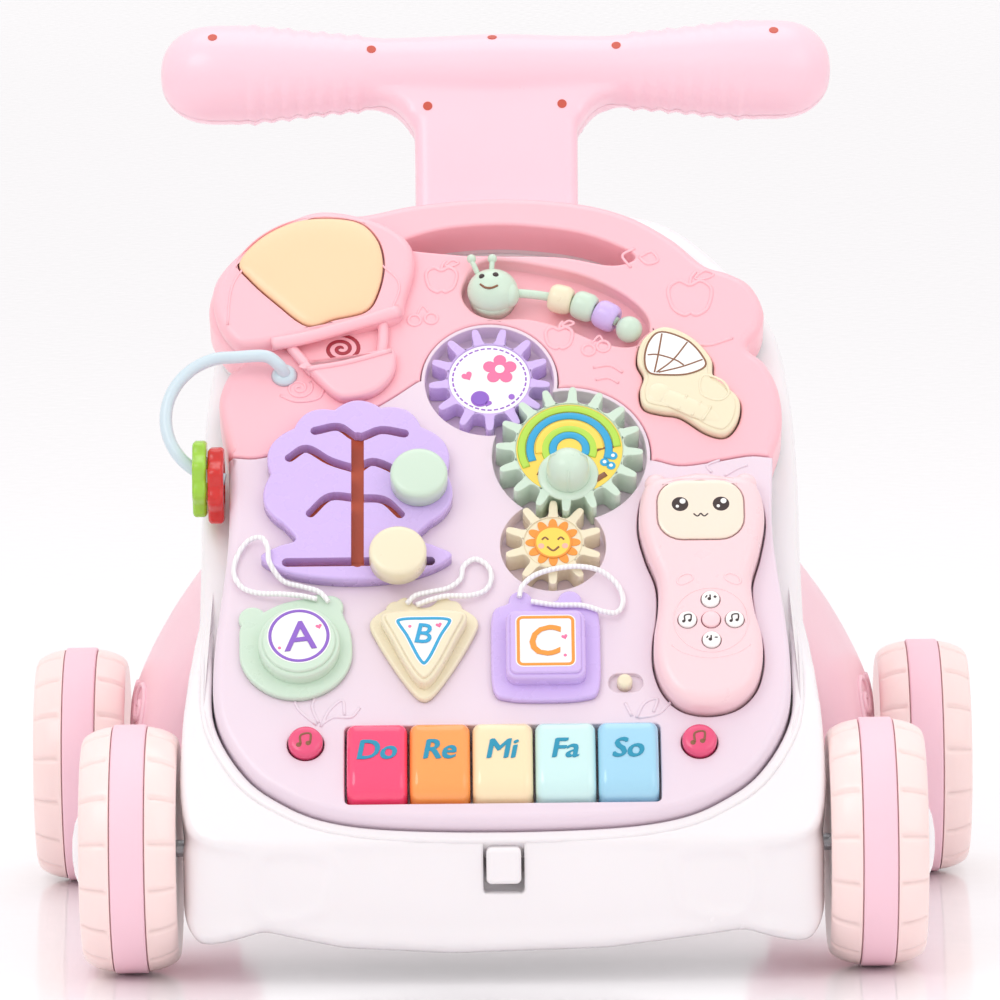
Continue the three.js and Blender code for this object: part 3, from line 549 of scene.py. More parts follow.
# %% Floor
floor_finish = plastic("pale_floor", "#fbf9fb", 0.1, 0.01, 0.0, coat=0.0, soft=0.0)
FLOOR_SIDE, FLOOR_FRONT, FLOOR_BACK, FLOOR_DROP = 14000, -9000, 22000, -0.2
corners = [[-FLOOR_SIDE, FLOOR_FRONT], [FLOOR_SIDE, FLOOR_FRONT], [FLOOR_SIDE, FLOOR_BACK], [-FLOOR_SIDE,
    FLOOR_BACK]]
floor = Moulding().add((raised(corners, FLOOR_DROP), [[0, 1, 2, 3]]), 0, False)
placed("floor", floor.mesh("floor", on_floor, [floor_finish], False))
print("camera", camera.location[:], "lamps", len(LAMPS))

# %% [markdown]
# ## Pull strings
# Each puzzle piece has a white cotton loop to pull it out by. The real ones are knotted into the piece at
# both ends, so each is a cord that leaves the piece and goes back into it. It is a curve through a few
# points that keep clear of the tree, its knobs and the blocks, lying as the strings lie in front of the
# panel.

# %% Strings
STRING_ROUTES = {
    "circle": [[-80.5, 113.5, 5.4], [-85, 119, 5.4], [-93, 123, 3.6], [-102, 126.5, 3.4], [-108, 133, 9],
               [-109, 141, 9.6], [-112, 148, 7], [-118, 149, 3], [-123, 142, 2.2], [-125, 132, 2.2],
               [-121, 123.5, 2.6], [-113, 119.5, 3.8], [-103, 118, 5.4], [-93, 116.8, 5.5], [-86, 115, 5.3]],
    "triangle": [[-44, 112, 5.3], [-40, 116, 6], [-33, 118.5, 5], [-25, 121.5, 3.2], [-19, 127, 2.3],
                 [-17.5, 134, 2.2], [-12, 138, 2.2], [-6, 134, 2.2], [-4.5, 127, 2.2], [-7.5, 120.5, 2.4],
                 [-15, 117, 3.8], [-25, 116, 5.3], [-33, 113.8, 5.6], [-39.5, 111.2, 5.3]],
    "square": [[8.5, 115, 5.3], [10, 121, 5.2], [16, 127, 5.2], [26, 130.5, 5.2], [37, 131.5, 5.2], [47, 129,
        4.8],
               [54.5, 122.5, 3], [57, 114.5, 2.3], [54.5, 108, 2.8], [48.5, 106.5, 5], [38, 110, 5.3],
               [25, 110.5, 5.2], [14, 112.5, 5.3]]}
STRING_RADIUS = 1.25


def cotton():
    """White cotton: a twist of furrows round the cord, as a wave in Object coordinates; the wave sinks the
    furrows by bump and greys them with painted shade.
    """
    material = bpy.data.materials.new("white_cotton")
    material.use_nodes = True
    tree = material.node_tree
    shader, node = tree.nodes["Principled BSDF"], tree.nodes.new
    place, wave, furrow_shade, bump = (node("ShaderNodeTexCoord"), node("ShaderNodeTexWave"), node("ShaderNodeMix"),
                               node("ShaderNodeBump"))
    wave.inputs["Scale"].default_value = 160
    wave.inputs["Distortion"].default_value = 2
    furrow_shade.data_type = "RGBA"
    # Painted shade: colour A greys the wave's low furrows.
    furrow_shade.inputs["A"].default_value = linear("#ece8ea")
    furrow_shade.inputs["B"].default_value = linear("#ffffff")
    bump.inputs["Distance"].default_value = 0.0003
    bump.inputs["Strength"].default_value = 0.4
    shader.inputs["Roughness"].default_value = 0.8
    shader.inputs["Sheen Weight"].default_value = 0.3
    link_chain(tree, (place.outputs["Object"], wave.inputs["Vector"]), (wave.outputs["Fac"],
        furrow_shade.inputs["Factor"]),
               (furrow_shade.outputs["Result"], shader.inputs["Base Color"]), (wave.outputs["Fac"],
                   bump.inputs["Height"]),
               (bump.outputs["Normal"], shader.inputs["Normal"]))
    return material


COTTON = cotton()
for name, route in STRING_ROUTES.items():
    line = on_panel(smooth_line(route, 8))
    curve = bpy.data.curves.new(f"{name}_pull_string", "CURVE")
    curve.dimensions = "3D"
    curve.bevel_depth = STRING_RADIUS * MM
    curve.bevel_resolution = 3
    curve.use_fill_caps = True
    spline = curve.splines.new("POLY")
    spline.points.add(len(line) - 1)
    spline.points.foreach_set("co", np.column_stack([line, np.ones(len(line))]).ravel())
    curve.materials.append(COTTON)
    string = placed(f"{name}_pull_string", curve)
    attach(string, f"{name}_piece")
    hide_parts(f"{name}_string")

# %% [markdown]
# ## The white body
# The real body is two blow-thick shells screwed together behind the panel, with the front one running down
# into an apron between the wheels. The tray, the apron and a rim that follows the panel's foot are drawn as
# slabs and then fused: their skins are remade as one even skin and relaxed, which leaves the soft fillet
# that the mould has where they meet. A thin lip laid on the rim keeps its inner edge crisp.

# %% Fusing and cutting
def baked(mesh, *steps):
    """A new mesh with the given modifiers worked in; each step is (kind, settings)."""
    obj = placed("bench", mesh)
    for kind, settings in steps:
        modifier = obj.modifiers.new(kind, kind)
        for key, value in settings.items():
            setattr(modifier, key, value)
    return worked_out(obj)


def fused(moulding, place, voxel, relax, materials):
    """Overlapping skins become one, then every point moves towards its neighbours' mean, relax times."""
    rough = moulding.mesh("bench", place, materials)
    mesh = baked(rough, ("REMESH", {"mode": "VOXEL", "voxel_size": voxel * MM}),
                 ("SMOOTH", {"factor": 0.5, "iterations": relax}))
    mesh.polygons.foreach_set("use_smooth", [True] * len(mesh.polygons))
    mesh.materials.clear()
    for material in materials:
        mesh.materials.append(material)
    return mesh


def cut(mesh, moulding, place):
    """Takes a moulding's volume out of the mesh."""
    cutter = placed("cutter", moulding.mesh("cutter", place, []))
    result = baked(mesh, ("BOOLEAN", {"object": cutter, "operation": "DIFFERENCE", "solver": "EXACT",
                                      "use_self": True}))
    bpy.data.objects.remove(cutter)
    return result


# %% Front shell with its apron
# The shell is drawn as (u, v) on the panel, the apron's section as (y, z), and the apron's foot as (x, z).
SHELL_HALF = [[45, 357], [76, 352], [98, 337], [120, 310], [134, 284], [140, 246], [142, 206], [142, 156],
              [143, 111], [147, 78], [148, 50], [140, 26], [60, 24]]
SHELL_POINTS = [[0, 358]] + SHELL_HALF + [[0, 24]] + [[-u, v] for u, v in SHELL_HALF[::-1]]
shell_outline = loop(SHELL_POINTS, 8)
APRON_SIDE = [[-178, 16], [-185, 30], [-186, 55], [-184, 67], [-171, 58], [-128.6, 110], [-109.7, 133.5],
              [-70, 100], [-62, 60], [-75, 30], [-110, 16]]
APRON_LOW = np.array([[-150, 19], [-141, 14], [-111, 25], [-74, 17], [-24, 14], [48, 16], [111, 24],
                      [141, 13],
                      [150, 18]], float)


APRON_HALF = 148.5


def apron_block():
    """The side section, carried across; s(x) = (1 - |x/half width|^9)^(1/9) rounds its ends.
    Its foot lifts."""
    section = loop(APRON_SIDE, 6)
    middle = section.mean(0)
    x = APRON_HALF * np.sin(np.linspace(-np.pi / 2, np.pi / 2, 121))
    size = (1 - np.abs(x / APRON_HALF) ** 9).clip(0) ** (1 / 9)
    grid = middle + (section - middle)[None] * size[:, None, None]
    lift = np.interp(x, APRON_LOW[:, 0], APRON_LOW[:, 1]) - 15
    low = ((60 - grid[..., 1]) / 45).clip(0, 1)
    grid[..., 1] += lift[:, None] * low
    points = np.concatenate([grid, np.broadcast_to(x[:, None, None], (*grid.shape[:2], 1))], -1)
    return points.reshape(-1, 3), quads(len(x), len(section))


def from_panel(points):
    """Panel drawing to walker millimetres, so that both slabs can share one mesh."""
    return on_panel(points) / MM


shell = Moulding()
surface, flags = slab(shell_outline, -84.8, -26, 9, 0.5, 6)
shell.add((from_panel(surface[0]), surface[1]), 0, flags)
apron = apron_block()
shell.add((np.roll(apron[0], 1, axis=-1), apron[1]))  # (y, z, x) becomes (x, y, z)
for side in (-1, 1):
    fin = smooth_line([[side * 113, -186.4, 62], [side * 81, -186.4, 62], [side * 80, -186.4, 50],
                       [side * 84, -185.8, 37], [side * 111, -185.4, 35]], 10, True)
    shell.add(tube(fin, 1.4, 8, up=(0, 1, 0), closed=True))
RIM_OUT = [[143, 122], [147, 82], [149, 48], [149, 16], [142, -5], [118, -12], [60, -11], [0, -10.5]]
RIM_IN = [[133, 120], [138, 88], [136, 54], [121.5, 24], [102, 8.5], [81, -0.6], [50, -5.2], [0, -6.8]]
PANEL_EDGE = [[130, 150], [134, 110], [134.2, 88], [132.2, 54], [118.2, 27], [100.2, 12], [80, 3],
              [50, -1.5], [0, -3]]


def both_sides(points):
    """A half drawing from its top down to the middle, with its mirror image going up again."""
    return np.vstack([points, [[-u, v] for u, v in points[-2::-1]]]).astype(float)


def sloping(surface):
    """The rim's top sinks towards the shoulders: w falls by 22 ((v - 50) / 72)^1.3."""
    surface[0][:, 2] -= 22 * np.clip((surface[0][:, 1] - 50) / 72, 0, 1) ** 1.3 * (surface[0][:, 2] > -23)
    return surface


crescent = np.vstack([smooth_line(both_sides(RIM_OUT), 6), smooth_line(both_sides(RIM_IN), 6)[::-1]])
crescent = crescent[::-1] if signed_area(crescent) < 0 else crescent
block, block_flags = slab(crescent, -40, -6.5, 3, 0.5, 5)
shell.add((from_panel(sloping(block)[0]), block[1]), 0, block_flags)
shell_mesh = fused(shell, on_floor, voxel=2.0, relax=12, materials=[WHITE])
window = Moulding()
window.add(slab(rounded_box((-9.5, 44), (9.5, 69.5), 2), -200, -176, 0, 0)[0])
shell_mesh = cut(shell_mesh, window, lambda p: np.stack([p[:, 0], p[:, 2], p[:, 1]], 1) * MM)
shell_mesh.polygons.foreach_set("use_smooth", [True] * len(shell_mesh.polygons))
piece("front_shell_skin", shell_mesh, None, None, "walker", ["front_shell"])
edge = smooth_line(both_sides(PANEL_EDGE), 6)
way = np.gradient(edge, axis=0)
out = np.stack([way[:, 1], -way[:, 0]], 1) / np.linalg.norm(way, axis=1, keepdims=True)
out *= -np.sign(out[len(out) // 2, 1])
LIP_GAP, LIP_OUTER = 1.2, 6.5
strip = np.vstack([edge + out * LIP_GAP, (edge + out * LIP_OUTER)[::-1]])
strip = strip[::-1] if signed_area(strip) < 0 else strip
lip = Moulding()
lip_surface, lip_flags = slab(strip, -30, -5.9, 1.6, 0.3, 4)
lip.add(sloping(lip_surface), 0, lip_flags)
piece("shell_lip", lip, on_panel, [WHITE], "walker")
print("front shell", len(shell_mesh.polygons), "faces")

# %% Rear shell
rear = Moulding()
REAR_FOOT = [[144, 93], [139, 83], [110, 81], [60, 81], [0, 81], [-60, 81], [-110, 81], [-139, 83], [-144,
    93]]
high = [p for p in SHELL_POINTS if p[1] > 96]
back = loop(high[:10] + REAR_FOOT + high[10:], 8)
add_slab(rear, back, -108, -85.3, 0.8, 11, 0, 6)
piece("rear_shell_skin", rear, on_panel, [WHITE], "walker", ["rear_shell"])

# %% Latch
latch = Moulding()
add_slab(latch, rounded_box((-8, 49), (8, 66), 2.5), 180, 190.2, 2.2, 0.5)
piece("latch_tab", latch, lambda p: np.stack([p[:, 0], -p[:, 2], p[:, 1]], 1) * MM, [WHITE], "latch",
      ["latch"])

# %% [markdown]
# ## The push handle
# A bar thick enough for small fists, swelling to round ends, on a flat stem. The two halves are screwed
# from the front, so there is a seam all the way round and a row of screw wells. The grip ribs are a cosine
# ripple on the bar's top and bottom, faded in and out along the grip.

# %% Handle
def bar_surface():
    """r(x, t) = r0(x) + 2.1 rib(x) |sin t|^2, with the ends closed to a pole."""
    knots = np.array([[0, 19], [30, 18], [57, 17.5], [78, 19], [97, 21], [115, 23], [132, 24.4], [144, 24],
                      [153, 21.4], [160, 16], [164, 9], [165.5, 0]], float)
    along = np.vstack([knots[::-1] * [-1, 1], knots[1:]])
    line = smooth_line(along, 14)
    x, r = line[:, 0], line[:, 1].clip(0)
    t = np.linspace(0, 2 * np.pi, 72, endpoint=False)
    fade = np.clip((np.abs(x) - 58) / 8, 0, 1) * np.clip((130 - np.abs(x)) / 8, 0, 1)
    rib = fade * (0.5 + 0.5 * np.cos(2 * np.pi * (np.abs(x) - 60) / 8.4))
    radius = r[:, None] + 2.1 * rib[:, None] * np.abs(np.sin(t))[None] ** 2
    grid = np.stack([np.broadcast_to(x[:, None], radius.shape), radius * np.cos(t), radius * np.sin(t) + 90],
                    -1)
    return grid.reshape(-1, 3), quads(len(x), len(t))


STEM = [[-40, -58], [40, -58], [40, 48], [42, 60], [50, 70], [62, 76], [62, 92], [-62, 92], [-62, 76],
        [-50, 70],
        [-42, 60], [-40, 48]]
handle = Moulding()
handle.add(bar_surface())
stem_line = np.vstack([smooth_line(STEM[1:7], 6), smooth_line(STEM[7:] + STEM[:1], 6)])
stem_surface, stem_flags = slab(stem_line, -13, 13, 6, 6, 5)
handle.add((stem_surface[0][:, [0, 2, 1]] * [1, -1, 1], stem_surface[1]), 0, stem_flags)
handle_mesh = fused(handle, on_handle, voxel=1.7, relax=3, materials=[PINK])
SCREWS = [[-139, 101], [-61, 96], [-1.5, 103], [59.5, 97], [137, 102], [-33.5, 67], [32.5, 67.5]]
handle_face = skin_of(handle_mesh)
towards = Vector((0, math.cos(STEM_LEAN), math.sin(STEM_LEAN)))
SEAM, WELL_RADIUS, WELL_DEPTH, WELL_RIM = 0.25, 2.3, 0.0012, 0.00025
for front in (True, False):
    half = bmesh.new()
    half.from_mesh(handle_mesh)
    edge = on_handle([0, -SEAM if front else SEAM, 0])
    bmesh.ops.bisect_plane(half, geom=half.verts[:] + half.edges[:] + half.faces[:], plane_co=edge,
                           plane_no=towards if front else -towards, clear_outer=True)
    rim = [e for e in half.edges if e.is_boundary]
    bmesh.ops.holes_fill(half, edges=rim, sides=0)
    bmesh.ops.recalc_face_normals(half, faces=half.faces)
    mesh = bpy.data.meshes.new("handle_half")
    half.to_mesh(mesh)
    half.free()
    mesh.materials.append(PINK)
    name = "front" if front else "back"
    piece(f"handle_{name}_skin", mesh, None, None, "walker", [f"handle_{name}"])
# The screw wells are not sunk: each is a thin disc standing just proud of the skin, and its dark red is
# painted shade standing in for the hole's depth.
screw_hole_shades = Moulding()
for x, z in SCREWS:
    start = Vector(on_handle([x, -80, z]))
    hit, normal, _, _ = handle_face.ray_cast(start, towards)
    n = np.array(normal)
    a = np.cross(n, [1, 0, 0])
    a /= np.linalg.norm(a)
    b = np.cross(n, a)
    flat = circle((0, 0), WELL_RADIUS, 20) * MM
    ring = np.array(hit)[None] + flat[:, :1] * a + flat[:, 1:] * b
    screw_hole_shades.add((np.vstack([ring - n * WELL_DEPTH, ring + n * WELL_RIM]) / MM,
               quads(2, 20) + [list(range(20, 40)), list(range(20))[::-1]]), 0, False)
piece("handle_screw_hole_shade", screw_hole_shades, on_floor, [SCREW_HOLE_SHADE], "walker")
print("handle", len(handle_mesh.polygons), "faces")

# %% [markdown]
# ## Rear legs
# Each leg is a hollow arm from the body back to the rear wheel, with rounded-square sections that lean with
# it. A spiral is raised on its outer side, as a shell on a beach.

# %% Legs
def leg_surface(side):
    """Sections |a|^(1/0.6) + |b|^(1/0.6) = 1 swept through the stations, each leaning 45 degrees.
    A station is (x, y, z, width, height)."""
    stations = np.array([[106, -50, 178, 34, 66], [110, -22, 172, 42, 72], [121, 26, 152, 50, 72],
                         [136, 68, 122, 60, 71], [149, 104, 89, 66, 70], [151, 120, 72, 64, 64],
                         [152, 133, 57, 60, 48]], float)
    rows = smooth_line(stations, 8)
    t = np.linspace(0, 2 * np.pi, 56, endpoint=False)
    a = np.sign(np.cos(t)) * np.abs(np.cos(t)) ** 0.6
    b = np.sign(np.sin(t)) * np.abs(np.sin(t)) ** 0.6
    x = side * (rows[:, :1] + a * rows[:, 3:4] / 2)
    y = rows[:, 1:2] + b * rows[:, 4:5] / 2 * math.sin(math.pi / 4)
    z = rows[:, 2:3] + b * rows[:, 4:5] / 2 * math.cos(math.pi / 4)
    faces = quads(len(rows), 56)
    last = (len(rows) - 1) * 56
    faces += [list(range(56))[::-1], list(range(last, last + 56))]
    return np.stack([x, y, z], -1).reshape(-1, 3), faces


SPIRAL_AT, SPIRAL_PITCH, BESIDE_LEG = (96, 92), 1.35, 0.26
for side, name in ((-1, "left"), (1, "right")):
    leg = Moulding().add(leg_surface(side))
    boss = [(0, 132), (23, 132), (25, 134), (25, 181), (23, 184), (0, 184)]
    hub = turned([(r, side * h) for r, h in boss], 48, (AXLE_Y, WHEEL_RADIUS), "x")
    leg.add(hub)
    mesh = fused(leg, on_floor, voxel=2.4, relax=3, materials=[LEG])
    skin = skin_of(mesh)
    spiral = []
    for t in np.linspace(0.4, 4.2 * np.pi, 70):
        y, z = SPIRAL_AT[0] + SPIRAL_PITCH * t * math.cos(t), SPIRAL_AT[1] + SPIRAL_PITCH * t * math.sin(t)
        hit = skin.ray_cast(Vector((side * BESIDE_LEG, y * MM, z * MM)), Vector((-side, 0, 0)))[0]
        if hit:
            spiral.append([c / MM for c in hit])
    detail = Moulding().add(tube(spiral, 1.5, 8, up=(1, 0, 0)))
    piece(f"{name}_leg_skin", mesh, None, None, "walker", [f"{name}_leg"])
    piece(f"{name}_leg_spiral", detail, on_floor, [LEG], "walker")

# %% [markdown]
# ## Wheels
# Each wheel is a moulded barrel with cross grooves on both shoulders, a grippier band round its middle and
# a domed white cap outside. r(h, t) = r0(h) - depth * groove(t) * shoulder(h).

# %% Wheels
def barrel():
    outer = [(6, -19), (30, -19), (38, -20), (47, -22.3), (50.5, -22.2), (53.2, -20), (55.6, -15), (56.9,
        -9.4),
             (56.9, -8.3), (55, -7.9), (55, 0)]
    profile = np.array(outer + [(r, -h) for r, h in outer[-2::-1]], float)
    line = smooth_line(profile, 3)
    line[:, 0] = line[:, 0].clip(5)
    count = 256
    t = np.linspace(0, 2 * np.pi, count, endpoint=False)
    phase = (t * 16 / (2 * np.pi)) % 1
    groove = np.exp(-(((phase - 0.5) / 0.045) ** 2))
    h = np.abs(line[:, 1])
    shoulder = np.clip((h - 9) / 1.5, 0, 1) * np.clip((22.6 - h) / 1.5, 0, 1) * (line[:, 0] > 50)
    r = line[:, :1] - 1.7 * shoulder[:, None] * groove[None]
    grid = np.stack([r * np.cos(t), r * np.sin(t), np.broadcast_to(line[:, 1:], r.shape)], -1)
    grid = np.concatenate([grid, grid[:1]])
    return grid.reshape(-1, 3), quads(len(grid), count)


# (x, y) of each wheel's middle, then (r, h) of the cap's and the band's sections.
WHEEL_PLACES = {"front_left": (-173.5, -AXLE_Y), "front_right": (173.5, -AXLE_Y),
                "rear_left": (-209.5, AXLE_Y), "rear_right": (209.5, AXLE_Y)}
CAP = [(0, 24.6), (6, 24.4), (12, 23.4), (17, 21.4), (20.5, 18.6), (21.5, 15.6), (21.5, 12), (0, 12)]
BAND = [(54.2, -7.75), (57.2, -7.75), (57.8, -7.4), (58, -6.8), (58, 0), (58, 6.8), (57.8, 7.4), (57.2, 7.75),
        (54.2, 7.75), (54.2, -7.75)]
for name, (x, y) in WHEEL_PLACES.items():
    side = 1 if x > 0 else -1

    def at_wheel(points, x=x, y=y):
        p = np.asarray(points, float)
        return np.stack([p[:, 2] + x, p[:, 0] + y, p[:, 1] + WHEEL_RADIUS], 1) * MM

    wheel = Moulding().add(barrel())
    wheel.add(turned([(r, side * (h + (-3 if "rear" in name else 3))) for r, h in CAP], 64), 1)
    piece(f"{name}_barrel", wheel, at_wheel, [PEACH, WHITE], f"{name}_wheel",
          [f"{name}_wheel"])
    band = Moulding().add(turned(BAND, 160))
    piece(f"{name}_band", band, at_wheel, [TREAD], f"{name}_wheel", [f"{name}_tread"])
print("four wheels")

# %% [markdown]
# ## Outlines shared by the two panels
# The lavender and salmon panels meet along a wavy border. Three gear wells overlap in a chain, so their
# common outline is worked out from the angles at which neighbouring circles cross.

# %% Panel outlines
# Each gear is (teeth, (u, v) of its middle, height of its face).
GEAR_MODULE = 3.9
GEARS = {"lilac": (13, (-4.47, 238.86), 2.0), "mint": (16, (33.0, 196.5), 6.0), "sun": (10, (24.68, 146.49),
    3.0)}


def gear_tip(teeth):
    return GEAR_MODULE * (teeth / 2 + 0.9)


def arc(centre, radius, start, end, step=0.09):
    """Points from start anticlockwise to end."""
    while end <= start:
        end += 2 * np.pi
    while end > start + 2 * np.pi:
        end -= 2 * np.pi
    t = np.linspace(start, end, max(3, int((end - start) / step)))
    return np.stack([centre[0] + radius * np.cos(t), centre[1] + radius * np.sin(t)], 1)


def crossings(grow):
    """For lilac-mint and mint-sun: direction, and half angle at each centre, by the cosine rule."""
    found = []
    for one, two in (("lilac", "mint"), ("mint", "sun")):
        a, b = np.array(GEARS[one][1]), np.array(GEARS[two][1])
        ra, rb = gear_tip(GEARS[one][0]) + grow, gear_tip(GEARS[two][0]) + grow
        d = np.linalg.norm(b - a)
        found.append((math.atan2(*(b - a)[::-1]), math.acos((ra**2 + d**2 - rb**2) / (2 * d * ra)),
                      math.acos((rb**2 + d**2 - ra**2) / (2 * d * rb))))
    return found


def gear_chain(grow):
    """The wells' common outline, anticlockwise."""
    (ab, ha, hb), (bc, hbc, hc) = crossings(grow)
    (la, lilac, _), (lb, mint, _), (lc, sun, _) = GEARS["lilac"], GEARS["mint"], GEARS["sun"]
    ra, rb, rc = (gear_tip(t) + grow for t in (la, lb, lc))
    back = ab + math.pi
    parts = [arc(lilac, ra, ab + ha, ab - ha), arc(mint, rb, back + hb, bc - hbc),
             arc(sun, rc, bc + math.pi + hc, bc + math.pi - hc), arc(mint, rb, bc + hbc, back - hb)]
    return np.vstack([part[:-1] for part in parts])


def gear_lobe(grow):
    """The chain's part above the border: right side of the mint well, up, and over to the lilac's left."""
    (ab, ha, hb), _ = crossings(grow)
    lilac, mint = GEARS["lilac"][1], GEARS["mint"][1]
    ra, rb = gear_tip(13) + grow, gear_tip(16) + grow
    return np.vstack([arc(mint, rb, -0.08, ab + math.pi - hb), arc(lilac, ra, ab + ha, math.pi - 0.02)[1:]])


LOW_EDGE = [[-128, 197], [-128, 150], [-134, 88], [-132, 54], [-118, 27], [-100, 12], [-80, 3], [-50, -1.5],
            [0, -3],
            [50, -1.5], [80, 3], [100, 12], [118, 27], [132, 54], [134, 88], [128, 150], [129, 194]]
HIGH_EDGE = [[129, 195], [134, 214], [133, 234], [127, 249], [119, 258], [125, 268], [127, 280], [121, 294],
             [111, 301], [99, 306], [84, 321], [63, 335], [37, 343], [0, 346], [-37, 343], [-64, 337],
             [-87, 335],
             [-108, 326], [-125, 311], [-136, 295], [-138, 278], [-131, 262], [-122, 253], [-129, 245],
             [-133, 231], [-131, 214], [-128, 198]]
RIGHT_BORDER = [[127, 194.6], [116, 195], [88, 190], [74, 193]]
LEFT_BORDER = [[-39, 238.6], [-56, 226], [-88, 206], [-112, 197], [-126, 197]]


def joined_loop(*parts):
    """Stretches of outline joined end to end, each with its own rim radius and wall depth."""
    line = np.vstack([p for p, _, _ in parts])
    rim = np.concatenate([np.full(len(p), r, float) for p, r, _ in parts])
    depth = np.concatenate([np.full(len(p), d, float) for p, _, d in parts])
    keep = np.linalg.norm(np.roll(line, -1, 0) - line, axis=1) > 0.3
    return line[keep], rim[keep], depth[keep]


def hole(outline, rim, depth, floor=True):
    """A well: its outline runs clockwise, so that the plastic is on its left."""
    line = np.asarray(outline, float)
    return (line[::-1] if signed_area(line) > 0 else line, rim, depth, floor)


def grown(outline, by):
    return outline - inward(outline) * by if signed_area(outline) > 0 else outline + inward(outline) * by


PHONE_POINTS = [[94, 181], [106, 179], [116, 178], [122, 171], [124, 156], [121, 138], [117, 122], [118, 106],
                [121, 92], [121, 78], [117, 65], [108, 56], [95, 53], [83, 56], [75, 65], [71, 78], [71, 92],
                [73, 106], [73, 122], [68, 138], [65, 154], [67, 171], [73, 178], [82, 179]]
BUTTERFLY = [[79, 267], [69, 260], [66, 248], [69, 239], [67, 230], [69, 222], [77, 219], [86, 217],
             [98, 208],
             [107, 206], [113, 214], [114, 225], [108, 233], [102, 239], [101, 249], [92, 261]]
BEAD_POCKET = [[-17, 292], [-9, 306], [4, 308], [28, 303], [45, 297], [61, 287], [71, 275], [71, 263],
               [61, 258],
               [46, 262], [32, 269], [14, 274.5], [-4, 275], [-14, 281]]
CARRY_SLOT = [[-48, 317], [-20, 312], [0, 311], [30, 310], [55, 305], [66, 310], [50, 320], [30, 326],
              [0, 329],
              [-30, 326]]
phone_outline, butterfly_outline = loop(PHONE_POINTS, 6), loop(BUTTERFLY, 6)
BLOCKS = {"circle": circle((-94, 89), 19, 56),
          "triangle": loop([[-55, 104], [-36, 106], [-17, 104], [-20, 92], [-36, 66], [-52, 92]], 8),
          "square": rounded_box((2, 68), (39, 105), 5)}
FLANGES = {
    "circle": [[-122, 92], [-121, 103], [-112, 109], [-103, 114], [-92, 117], [-84, 119], [-76, 114],
               [-73, 106],
               [-70, 97], [-70, 82], [-77, 70], [-90, 63], [-104, 64], [-115, 71], [-121, 81]],
    "triangle": [[-61, 104], [-52, 112], [-45, 117], [-39, 112], [-33, 112], [-27, 117], [-20, 112],
                 [-11, 104],
                 [-14, 93], [-27, 70], [-36, 61], [-45, 70], [-58, 93]],
    "square": [[-4, 108], [3, 113], [9, 119], [16, 114], [25, 114], [32, 119], [38, 113], [45, 108], [46, 88],
               [45, 66], [38, 61], [20, 60], [3, 61], [-4, 66], [-5, 88]]}

# %% Lower panel
lower_line, lower_rim, lower_depth = joined_loop(
    (smooth_line(LOW_EDGE, 7), 4.5, 21.8), (smooth_line(RIGHT_BORDER, 5), 0.7, 3), (gear_lobe(3.6), 0.5, 3),
    (smooth_line(LEFT_BORDER, 5), 0.7, 3))
beside_phone = (lower_line[:, 0] > 100) & (lower_line[:, 1] > 60)
lower_rim = np.where(beside_phone, np.interp(lower_line[:, 1], [60, 110, 192, 197], [4.5, 1.3, 1.3, 0.7]),
                     lower_rim)
surface, flags = plastic_sheet([
    (lower_line, lower_rim, lower_depth, False),
    hole(gear_chain(1.8), 0.5, 9.4),
    hole(rounded_box((-73, 7.5), (73, 49), 2.5), 0.8, 13),
    hole(grown(phone_outline, 0.8), 0.6, 8),
    *[hole(grown(line, 0.6), 0.4, 6) for line in BLOCKS.values()],
    hole(circle((-91, 39.5), 8.6, 36), 0.6, 9), hole(circle((91, 38.5), 8.6, 36), 0.6, 9),
    hole(rounded_box((49.5, 66), (65.5, 76), 4.5), 0.5, 2.5)])
lower = Moulding().add(surface, 0, flags)
for teeth, at, top in GEARS.values():
    lower.add(turned([(0, -9.5), (3, -9.5), (3, top - 3.2), (0, top - 3.1)], 24, at))
for points in ([[-84, 41], [-80, 50], [-74, 55], [-73, 47]], [[-84, 42], [-78, 46], [-70, 46], [-66, 51]],
               [[-85, 43], [-88, 52], [-85, 61], [-81, 66]], [[-86, 42], [-94, 50], [-97, 58]]):
    ridge(lower, np.array(points) + [0, 8], 0.8)
for points in ([[62, 52], [66, 60], [72, 62], [70, 55]], [[63, 52], [72, 54], [78, 60]], [[60, 53],
    [57, 60]]):
    ridge(lower, points, 0.8)
for points in ([[100, 186], [98, 190], [104, 193]], [[106, 184], [112, 188], [117, 190]]):
    ridge(lower, points, 0.7)
piece("lower_panel_skin", lower, on_panel, [LAVENDER], "panel", ["lower_panel"])
print("lower panel", lower.count, "points")

# %% Upper panel
BALLOON = [[-87, 334], [-65, 331], [-49, 323], [-41, 313], [-40, 300], [-44, 284], [-48, 272], [-70, 266],
           [-92, 261], [-108, 257], [-122, 256], [-131, 265], [-136, 280], [-135, 294], [-125, 309], [-108,
               324]]
BALLOON_PAD = [[-124, 304], [-112, 319], [-93, 328], [-69, 327], [-58, 317], [-54.5, 302], [-57, 286],
               [-63, 275],
               [-78, 270.5], [-91, 267], [-106, 280], [-119, 294]]
pad_outline = loop(BALLOON_PAD, 6)
upper_line, upper_rim, upper_depth = joined_loop(
    (smooth_line(HIGH_EDGE, 7), 5, 21.8), (smooth_line(LEFT_BORDER[::-1], 5) + [0, 0.8], 1.2, 4),
    (gear_lobe(4.1)[::-1], 1.4, 9), (smooth_line(RIGHT_BORDER[::-1], 5) + [0, 0.8], 1.2, 4))
surface, flags = plastic_sheet([
    (upper_line, upper_rim, upper_depth, False),
    hole(loop(BEAD_POCKET, 6), 1.6, 8.5),
    hole(grown(butterfly_outline, 0.6), 1.0, 9),
    hole(loop(CARRY_SLOT, 8), 1.6, 21.8, False)])
upper = Moulding().add(surface, 0, flags)
